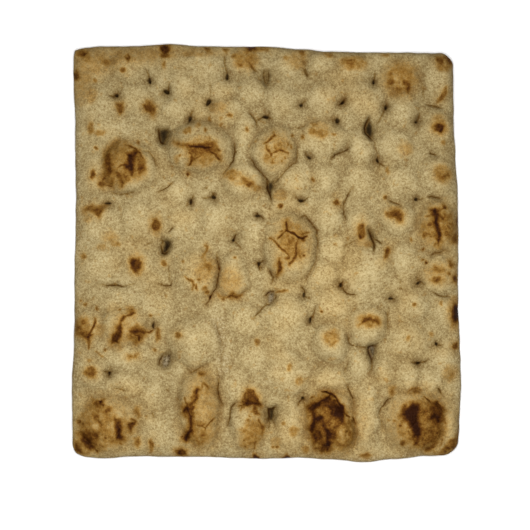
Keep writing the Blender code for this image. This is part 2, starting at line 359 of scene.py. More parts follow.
# The domes, row by row from the far end.
BLISTERS = each(
    Blister,
    (-69, 74, 7, 7, 0.9), (-55, 75, 6.5, 6.5, 0.9), (-26, 75, 8, 6, 1), (-9.5, 76.5, 6, 5, 0.9),
    (8.5, 76, 6.5, 5.5, 1.1), (22, 76, 6, 5, 1.1), (35, 74.5, 6.5, 5.5, 1.3), (54.2, 71, 7.4, 7, 1.5),
    (69, 70, 6.2, 9, 1.4), (-68, 60, 8, 8, 0.8), (-53.5, 62, 6.5, 6.5, 0.9), (-33.5, 67.5, 6, 6.5, 0.9),
    (-37, 57.5, 5.5, 4.5, 0.8), (-15.5, 57, 7, 5.5, 1.3), (-17, 65.5, 5.5, 4.5, 0.9),
    (-6.5, 64.5, 6, 6.5, 1.2), (5.5, 61.5, 7.2, 7, 1.3), (22.5, 61.5, 7.2, 7.8, 1.4),
    (39.5, 61, 7.8, 8.2, 1.4), (55, 57, 6.8, 8, 1.5), (68.5, 49.5, 7.2, 8.8, 1.5), (-63, 50.5, 8, 5.5, 0.8),
    (-54.8, 34.4, 11, 11, 2.9), (-27, 42.2, 13.8, 11, 3.5, -5), (-9, 49, 4.6, 8, 1.4),
    (3, 41.3, 9.4, 10.8, 2.9), (22.3, 45.3, 10, 8.4, 2.2), (37.8, 42.5, 5.4, 8.5, 1.4),
    (51.8, 43, 7.4, 7.8, 1.4), (-69.5, 32, 5, 8, 0.9), (-35.5, 25, 6, 5, 0.9), (-9.8, 29, 8.6, 7.4, 1.9, 12),
    (12, 29.8, 7.6, 7.6, 1.7), (23.8, 29.5, 6.4, 7, 1.3), (36.8, 28.8, 7.4, 7.8, 1.4),
    (54.8, 28.5, 7.4, 7.2, 1.3), (68.5, 31, 7.2, 7.6, 1.4), (-66, 10.5, 8.5, 7.5, 1), (-52, 13.5, 7, 7.5, 1),
    (-33, 12.5, 6.5, 7.5, 0.9), (-20, 14, 6.5, 6.5, 1.1), (-5.5, 7, 5.5, 7.5, 1.1),
    (9.4, 2.2, 11.4, 14.8, 3.2, -4), (24.8, 15, 6, 8.2, 1.4), (37.8, 12.5, 6, 8.5, 1.4),
    (52.8, 13.5, 7.4, 7.4, 1.8), (68.8, 10, 8, 11, 2.4), (-66, -5, 9, 6.5, 0.8), (-51.5, -3.5, 6.5, 7.5, 1),
    (-28.2, -8.5, 8.8, 10, 1.8), (-13.2, -8.8, 6.6, 9.4, 2.1), (27, 1.5, 5.6, 6.5, 1.2),
    (23, -8.5, 6.2, 6.8, 1.4), (40.5, -7.5, 9.6, 10.4, 1.8), (56.5, -3.5, 7, 8, 1.5),
    (69, -8.5, 7.4, 7.8, 1.4), (-60, -20, 8.5, 5, 0.9), (-44, -21.5, 7.5, 6, 0.9), (27, -21, 7.4, 6.4, 1.4),
    (58.6, -21.5, 7.4, 6.4, 1.3), (72, -24.5, 5, 6.4, 1.2), (-71, -30, 6.4, 7.6, 1.6),
    (-57.5, -29.3, 9.4, 8.4, 2), (-56, -42, 11, 4.6, 0.9), (-28.6, -35.4, 10.4, 10.8, 2.4),
    (-8.5, -27.5, 7.6, 7.6, 1.4), (-6, -42.5, 7, 6, 1), (8.2, -26.5, 9, 10.2, 1.7),
    (25.6, -36.4, 7.8, 8.8, 2.6), (40.6, -29.5, 8.2, 8.8, 2.5), (56.8, -35, 8.6, 7.8, 1.6),
    (71, -43, 5.6, 8.5, 1.3), (37, -45.5, 4.4, 6.6, 1.3), (-70, -47.5, 6, 6.5, 1), (-56, -53, 9, 5.2, 1),
    (-45.8, -57.5, 4.6, 6.8, 0.9), (-12.4, -53, 5.4, 7.4, 1.2), (8.6, -48.4, 9.4, 9.6, 1.9),
    (26, -50.6, 7.2, 5, 1.4), (47.2, -48.5, 4.8, 6.4, 1.2), (56.2, -49.5, 5.4, 5.6, 1.2),
    (66, -51, 5.4, 5.6, 1.1), (-63, -68.6, 11.6, 11.4, 2.6), (-43.5, -71.5, 6.2, 8.5, 0.9),
    (-27, -62.8, 8.4, 15.6, 3, -8), (-5.5, -57, 5, 5, 1.4), (-7.2, -69.6, 7.4, 10.4, 2),
    (9.8, -69.4, 6.6, 10.4, 1.9), (25.6, -68, 10.4, 13.2, 3.4, -8), (40.2, -63, 5.2, 15.5, 1.4),
    (59.2, -67.2, 12.8, 12.4, 3), (73.6, -70, 3.4, 8, 1.3),
)

# The ten pits that the docker pressed, row by row from the far end.
DOCKING_PITS = each(
    Hollow,
    (0.9, 0, -41.2, 46.6, ((-43.7, 49.9), (-39.4, 50.3), (-38.8, 48.6), (-40, 45.2), (-40.8, 43.6),
     (-42.8, 43.2), (-43.4, 46.5))),
    (0.5, 0, -0.2, 70.6, ((-0.8, 74), (0.9, 73.2), (1.1, 70.8), (0.7, 68.4), (0, 67), (-1, 68.6),
     (-1.5, 70.8))),
    (0.95, 0, 41.2, 49.2, ((41.2, 53.8), (43, 51.5), (43.4, 49), (42.8, 46), (41.4, 46), (39.7, 48.2),
     (39.5, 50), (40.2, 52.2))),
    (1, 0, 1.4, 26.2, ((-0.7, 29.6), (1.4, 28.6), (4.2, 29.6), (3, 27.6), (3.2, 26.2), (2.4, 24.6),
     (1.7, 22.4), (0.6, 24.6), (0.1, 26.6), (0.2, 28.4))),
    (0.95, 0, -40.3, 1.8, ((-42.3, 5.2), (-41.4, 3.4), (-42.2, 0.8), (-42.2, -0.5), (-40, -0.8),
     (-39.3, 0.6), (-38, 2), (-38.2, 4.8), (-40, 5.4))),
    (0.95, 0, 42.3, 6.9, ((41, 10.2), (42.4, 9.2), (43.4, 7.2), (43.9, 5.6), (43.2, 3.2), (42.6, 4.2),
     (41.7, 6.6), (41.1, 8.6))),
    (0.6, 0.85, 1.9, -17.8, ((0.1, -17.2), (0.8, -15.7), (2.2, -15), (3.5, -15.3), (3.9, -17.2), (3.4, -19),
     (2.7, -20.3), (1.6, -20.9), (0.4, -20.3), (0.1, -18.8))),
    (0.5, 0.75, -40.3, -43.8, ((-42.6, -45.2), (-42.3, -42.4), (-41.2, -41), (-39.3, -40.7), (-38.1, -42),
     (-37.9, -43.8), (-38.8, -45.8), (-40.4, -46.8), (-41.9, -46.9))),
    (0.8, 0.5, 42.4, -39.9, ((40.5, -38.2), (41.4, -37.3), (43.9, -37.2), (43.6, -39), (43.9, -40.6),
     (43.1, -42.2), (42.6, -43.6), (41.8, -42.2), (41, -40.4))),
    (1, 0, 1.9, -64.7, ((0.5, -62), (2, -62.4), (3.6, -61.6), (3.3, -64.2), (3.2, -66.2), (2.4, -67.6),
     (0.3, -67.6), (0.7, -65.6))),
)

STEAM_HOLES = each(
    Pit,
    (-60.1, 63, 0.7, 0.5, 10), (-47, 69, 0.5, 1.1, -8), (-40.2, 64.6, 0.9, 0.8, 30),
    (-30.7, 53.5, 0.55, 0.9, 15), (-15.8, 70.8, 0.45, 1.1), (-23.3, 60.4, 0.65, 1.3, 25),
    (13.9, 59.2, 0.6, 0.6), (-0.2, 54.5, 1, 0.55), (17, 38.1, 0.45, 0.9, -45), (28.6, 53, 0.75, 0.9),
    (30.4, 60.4, 0.45, 1, 48), (43.3, 68.4, 0.4, 0.9), (47.9, 58.3, 0.5, 0.9, 6), (60.3, 52.5, 0.6, 0.5),
    (44.6, 36.9, 0.45, 0.8), (-63.6, 19.7, 1.2, 0.4), (-30.3, 20.3, 0.45, 1, 5), (-21.3, 22.3, 0.85, 0.65),
    (14, 20.9, 1.1, 0.5), (-3.6, 14.7, 0.8, 0.5), (-13.4, 4.9, 0.55, 0.55), (-3, -4.6, 0.45, 0.9),
    (60, 21.3, 0.7, 0.6), (61, -12.3, 0.35, 0.8, 55), (30, -13.2, 0.5, 0.6), (49.8, -18.4, 0.9, 0.5),
    (15, -16.9, 0.45, 0.8), (17.7, -27.2, 0.4, 1.1, 15), (-45.2, -29.3, 0.35, 1.1),
    (-62.9, -48.4, 0.4, 0.55), (68.2, -36.8, 0.5, 0.7), (14.5, -58.3, 0.5, 0.5), (61.1, -44.6, 0.7, 0.45),
)

# The folds, each darkened along its line by painted shade; those at the pits trace their shaded walls.
CREASES = each(
    Crease,
    (0.5, ((-7.2, 56.5), (-5.3, 54.6), (-4.4, 53.4), (-3.9, 52.6), (-3.9, 50.4)), 0.45),
    (0.55, ((-4, 52.9), (-2.6, 53.6), (-1.3, 54.3), (0.9, 54.2), (2.6, 53.6)), 0.4),
    (0.35, ((0.4, 55.2), (1.6, 56.3)), 0.4),
    (0.5, ((11.4, 50.5), (13.2, 50.2), (14.9, 50.4), (15.5, 51.4))),
    (0.9, ((-13, 44), (-12.7, 41.2), (-13, 38.7), (-13.6, 36.2), (-14.8, 34.4)), 0.35),
    (0.5, ((-14.8, 34.4), (-16.8, 32.4), (-17.7, 31))),
    (0.9, ((-6.9, 37.9), (-5.6, 36.5), (-3.8, 33.8), (-2.2, 32.3), (0, 29.6), (0.6, 28.2)), 0.28),
    (0.5, ((12.3, 43), (12.5, 38.2), (12, 36), (10.7, 35.7), (9.3, 34.7), (5.3, 30.1), (3.4, 28.2)), 0.3),
    (1, ((0.1, 28.6), (0.5, 26.5), (0.9, 24.8), (1.6, 23), (1.9, 20.8)), 0.45),
    (0.3, ((2, 20.8), (1.3, 16.8))),
    (0.5, ((11, 23.4), (12.7, 21.4), (13, 20.8), (15.1, 20.8), (16.5, 22), (17.5, 22.5)), 0.35),
    (0.3, ((15.5, 27), (15.2, 24))),
    (0.9, ((33, 42.6), (32.5, 41.3), (31.4, 40.6), (29.6, 40.1), (27.6, 39.3), (26.2, 37.8))),
    (0.35, ((27, 43), (26.4, 38.5), (25, 35))),
    (0.7, ((64.2, 59.6), (66, 59), (68, 58.8), (70.5, 57.7)), 0.35),
    (0.5, ((-49.2, 40.7), (-47.1, 40.5), (-45.7, 38.8), (-44.7, 36.9), (-44.2, 34.5))),
    (0.5, ((-62.4, 24.4), (-61.3, 23.7), (-57.9, 23.2), (-55.3, 23.7), (-53, 24.4))),
    (0.8, ((-43.5, 24), (-41, 25.5), (-39.5, 26), (-37.5, 28.2))),
    (0.5, ((-25.5, 21.7), (-23.6, 22), (-22, 22.2)), 0.4),
    (0.4, ((-68, -13), (-64.5, -13.2))),
    (1, ((-64.8, -13.2), (-60, -13.2), (-57, -13.6)), 0.35),
    (0.4, ((-57, -13.6), (-52, -12.3))),
    (0.9, ((-43.5, -12.4), (-41, -13.3), (-38.3, -13.3), (-38, -12))),
    (0.3, ((-39, -3), (-39.2, -7.5), (-38.7, -12))),
    (0.8, ((34.2, 25.6), (32, 22), (30.8, 19), (31.2, 15), (32, 13.3))),
    (0.8, ((49, 21.3), (51.5, 20), (54, 18.7))),
    (0.7, ((64.6, 22.2), (66, 22.4), (67.5, 22.1), (70, 21.6)), 0.45),
    (0.4, ((61, 21), (62, 21.2), (63.4, 22)), 0.4),
    (0.5, ((31.2, 2), (32.5, 3.3), (36, 4.5))),
    (0.7, ((13.5, 14), (15.5, 15), (18, 12), (20.3, 8.5), (20.2, 6.5), (20.9, 4), (20.6, 1)), 0.35),
    (0.35, ((20.6, 1), (20, -3), (17, -9), (14.5, -14))),
    (0.9, ((1, -7), (1.8, -8.2), (2.2, -9.4), (2.8, -10.2), (2.4, -12)), 0.35),
    (0.9, ((-19.7, 0), (-19.8, -3), (-18.9, -6.5), (-19.5, -11), (-20.3, -14.5), (-22, -17.5),
     (-24.3, -21.3)), 0.26),
    (0.4, ((-10, -16.6), (-8.5, -15.5), (-6.5, -14.8))),
    (0.5, ((-12.9, 4.7), (-11.5, 3.2), (-10, 1.5))),
    (0.8, ((-13.4, 4.8), (-12.8, 6.4), (-12.1, 7.8)), 0.45),
    (0.7, ((-4.1, -3.4), (-3.2, -4.6), (-2.6, -6.2), (-2.2, -7.6)), 0.35),
    (0.6, ((-3, -4.7), (-2.2, -3.9), (-1.2, -2.7)), 0.35),
    (0.5, ((-2.9, -4.9), (-2, -5.9), (-1.5, -6.8))),
    (0.6, ((66, -1.3), (67, -0.5), (67.8, 0), (69.6, 0.1), (71.8, 1.2))),
    (0.7, ((66.7, -16), (68.5, -17.1), (70.5, -17.5), (73.5, -17.3))),
    (0.9, ((30.2, -13.6), (31.3, -15.3), (32.2, -16.4), (34, -17), (36, -17.2)), 0.35),
    (0.6, ((29, -12), (29.9, -12.9), (30.9, -11.7)), 0.35),
    (0.4, ((28.6, -13.9), (29.6, -13.6)), 0.45),
    (0.5, ((48.7, -22), (48.7, -26), (48.6, -30.5))),
    (0.7, ((32.6, -33), (33.2, -36), (34.2, -37.3), (37, -37.9), (40.5, -38.1))),
    (0.7, ((58.3, -43.9), (60, -44.4), (61.3, -44.4), (63, -43.8), (64.6, -43)), 0.35),
    (0.4, ((19, -44), (21.5, -46))),
    (0.4, ((33, -44.2), (31.9, -46), (31.5, -48.3))),
    (0.9, ((32.4, -53.4), (33.2, -55.4), (34.2, -57.6), (34.8, -59)), 0.35),
    (0.35, ((30, -50), (32.2, -53))),
    (0.3, ((34.6, -58.5), (35.4, -61.5))),
    (0.8, ((50.4, -58), (48.8, -58.7), (48, -59.8), (47, -61.3), (45.7, -62.3), (45.1, -65))),
    (0.35, ((45.1, -65), (46, -68), (46.8, -70.5))),
    (0.8, ((68.5, -54.1), (69.5, -55.3), (70.3, -56.8)), 0.4),
    (0.5, ((63, -58), (66, -60))),
    (0.4, ((-19.9, -29.6), (-17.2, -37.9), (-18.5, -47))),
    (0.9, ((-18.9, -50.2), (-19.2, -52.5), (-19.4, -55.5), (-18.6, -59), (-17.3, -61.4))),
    (0.35, ((-20, -46.5), (-19, -50.2))),
    (0.7, ((-12, -60.2), (-13.3, -61.2), (-14.3, -62.3), (-14.6, -65.5), (-15.7, -69.6)), 0.35),
    (0.4, ((36.2, -71), (36.2, -74), (35.6, -76.5), (34.6, -78.5))),
    (0.7, ((15.4, -59), (14.4, -58.8), (13.3, -60), (12.5, -61.6)), 0.35),
    (0.4, ((14.9, -59.2), (15.5, -61), (15.3, -62.4))),
    (0.3, ((61, 72), (63, 66), (63.5, 61))),
    (0.5, ((47.9, 58), (46.8, 56), (45.9, 54), (44.3, 51.5)), 0.35),
    (0.5, ((48, 58.4), (48.3, 60.2)), 0.45),
    (0.6, ((60.5, 52.8), (61, 54), (61.7, 55.9)), 0.35),
    (0.4, ((60.8, 52.8), (61.8, 52.9), (63, 53.2))),
    (0.6, ((44.8, 39.2), (44.5, 37.6), (44.8, 36.2), (46.3, 35.2), (47.5, 34.2)), 0.4),
    (0.4, ((45.2, 35.8), (45.4, 34), (45.3, 32.2))),
    (0.4, ((43, 45.5), (43.8, 42.5), (44.8, 39.4))),
    (0.4, ((-45.5, 4.3), (-48.5, 3))),
    (0.8, ((-39.3, 8.2), (-37.3, 10.2))),
    (1, ((41.1, 9.2), (41.7, 7.2), (42.4, 5.2), (43.1, 3.6), (43.3, 1.4), (43.2, 0)), 0.45),
    (0.9, ((43.4, 5.3), (44.6, 4.7), (45.4, 4.1), (46.4, 3.7)), 0.4),
    (1, ((-43.6, 49.9), (-43.1, 47.6), (-42.9, 45.6), (-42.3, 44.3), (-40.9, 44.1)), 0.45),
    (0.45, ((-0.8, 73.6), (-1.3, 71), (-0.8, 68.8), (0.1, 67.4)), 0.4),
    (0.4, ((0.8, 73.4), (0.9, 70.6), (0.4, 68.2)), 0.4),
    (1, ((41.1, 54), (40.1, 51.8), (39.6, 49.8), (40, 48), (41.2, 46.6), (42.5, 45.2)), 0.45),
    (0.9, ((-42.2, 3), (-42, 1), (-41.8, -0.2), (-40.6, -0.5), (-39.8, 0.3)), 0.45),
    (0.8, ((-40, 3.4), (-39.9, 2.2), (-40.1, 1)), 0.35),
    (0.5, ((-42.5, 5.5), (-41.6, 4.4), (-41.8, 3)), 0.4),
    (0.9, ((-0.2, -17.3), (0.6, -16.2), (1.8, -15.5), (3.2, -15.2)), 0.35),
    (0.8, ((3.9, -16.7), (3.8, -17.6), (3.4, -18.6))),
    (0.6, ((1.4, -20.9), (0.3, -20.7), (-1.2, -21.9), (-3.4, -24.2), (-5, -26.8)), 0.35),
    (0.4, ((0.4, -15.3), (-0.6, -15.2), (-1.6, -15.9))),
    (0.8, ((-42.8, -45.4), (-42.6, -43.6), (-42, -42), (-41.3, -41.2)), 0.35),
    (0.8, ((-39.5, -41.2), (-39.1, -41.8), (-38.7, -42.4)), 0.4),
    (0.9, ((43.8, -37.5), (42.4, -37.6), (41, -37.9), (40.8, -39), (41.3, -40.8), (42.3, -42.8),
     (42.5, -44.6)), 0.4),
    (0.4, ((42.5, -44.6), (42.2, -46.4), (41.7, -48)), 0.4),
    (1, ((3.5, -62), (2, -62.9), (0.9, -62.5), (0.9, -64.2), (1, -66), (0.5, -67.4)), 0.5),
    (0.4, ((1, -67.6), (1.1, -69.4), (0.9, -71))),
    (0.4, ((2.6, -67.4), (4, -70))),
    (0.4, ((53.5, -11), (54, -12.8))),
    (0.6, ((53.6, -14.2), (54.2, -14.6), (54.9, -15))),
    (0.8, ((13.5, -14.3), (14.3, -14), (15.2, -15.2), (15.3, -16.4)), 0.35),
    (0.6, ((15.2, -17.4), (16, -17.5), (17.6, -18.2))),
    (0.6, ((19.6, -22), (19.2, -24.4), (18.8, -25.8), (17.9, -26.5), (17.4, -28.4)), 0.35),
    (0.5, ((68.5, -37.1), (69.3, -37.3), (70.4, -37.3))),
    (0.45, ((-61.5, -54.8), (-60, -54.4), (-58.5, -54.6), (-57.2, -55.1), (-56.4, -55)), 0.35),
    (0.35, ((-40.3, -54.8), (-39.7, -55.6), (-38.5, -55.7))),
    (0.4, ((-45.7, -64), (-45.2, -65), (-44.7, -66.2)), 0.4),
    (0.7, ((-65.2, -47.6), (-63.7, -47.7), (-62.8, -48.1), (-62.8, -49), (-63.4, -49.6)), 0.35),
    (0.55, ((-6.4, 75.6), (-5.6, 74.2), (-4.8, 73.3), (-3.8, 72.7)), 0.5),
    (0.6, ((15.2, 74), (15.7, 72.6), (16.2, 71.6), (16.8, 70.6)), 0.75),
    (0.35, ((15.4, 77.5), (15.3, 74.5))),
    (0.5, ((-15.9, 71.5), (-16.1, 73.5), (-16.8, 76.5), (-17, 79)), 0.35),
    (0.5, ((-47.1, 69.8), (-47.4, 71.4), (-48.2, 73.2)), 0.4),
    (0.6, ((-63, 63.1), (-61.6, 62.6), (-60.3, 62.9)), 0.45),
    (0.35, ((-60, 63.4), (-59.2, 65))),
    (0.6, ((-39.5, 63.9), (-39.3, 65.6), (-39.1, 67.8)), 0.35),
    (0.6, ((-41.4, 64.7), (-40.4, 64.9)), 0.4),
    (0.4, ((-30.5, 54.2), (-30.1, 55.6), (-29.3, 57)), 0.5),
    (0.4, ((-32, 53.6), (-31, 53.6))),
    (0.4, ((14.2, 59.6), (15.3, 61.4)), 0.4),
    (0.5, ((15.5, 40.4), (15.7, 39.3), (16.5, 38.5)), 0.35),
    (0.4, ((26.8, 53.4), (28, 53.2)), 0.35),
    (0.6, ((28.7, 59.1), (29.6, 59.8), (30.8, 61), (31.9, 62.3)), 0.4),
    (0.5, ((43.3, 69), (43.6, 70.6), (43.8, 72.4)), 0.45),
    (0.7, ((65.8, 40.5), (65.8, 39.6), (66.8, 39.4), (68.1, 39.3)), 0.45),
    (0.6, ((-29.1, 22.9), (-29.9, 21.6), (-30.3, 20.4), (-30.2, 18.7)), 0.35),
    (0.4, ((-31.4, 21.2), (-30.5, 20.7))),
    (0.5, ((-24.3, 26.1), (-24.3, 25.3)), 0.4),
    (0.5, ((-21.4, 22.8), (-21.4, 24.2)), 0.8),
    (0.7, ((-3.8, 16), (-3.7, 15)), 0.4),
    (0.7, ((-3, 14.7), (-2.2, 14.5), (-1.1, 13.6)), 0.35),
    (0.5, ((61.6, -11.8), (62.4, -12.2), (63.4, -13))),
    (0.4, ((59.4, -13.2), (60.3, -12.9))),
    (0.4, ((60.8, -11.4), (60.3, -10))),
    (0.5, ((50.4, -18.5), (51.5, -19.1)), 0.4),
    (0.3, ((-22.9, 62.5), (-22.3, 65.5), (-22.4, 68))),
    (0.5, ((-32, -46.5), (-30.4, -48.2), (-28.5, -47.3), (-26.6, -46.3), (-24.6, -45.6))),
)

# Places inside the largest scorches that stayed paler than the char round them.
PALE_ISLANDS = (
    Stain(RUSSET, 0.8, ((20.1, -63.3), (21.5, -62.4), (22.4, -63), (23.1, -64.4), (23.4, -65.9),
        (21.8, -65.1), (20.1, -64.6))),
    Stain(RUSSET, 0.8, ((25.2, -67.8), (26.5, -66.8), (27.3, -67.8), (26.8, -68.9), (25.6, -69))),
    Stain(RUSSET, 0.64, ((20.2, -68.5), (21.5, -68.6), (21.8, -69.8), (20.6, -69.8))),
    Stain(AMBER, 0.64, ((25.8, -57.8), (26.9, -57.7), (27.6, -58.9), (26.4, -59.2))),
    Scorch(OCHRE, -68.6, -69.6, 1.6, 1.2),
)

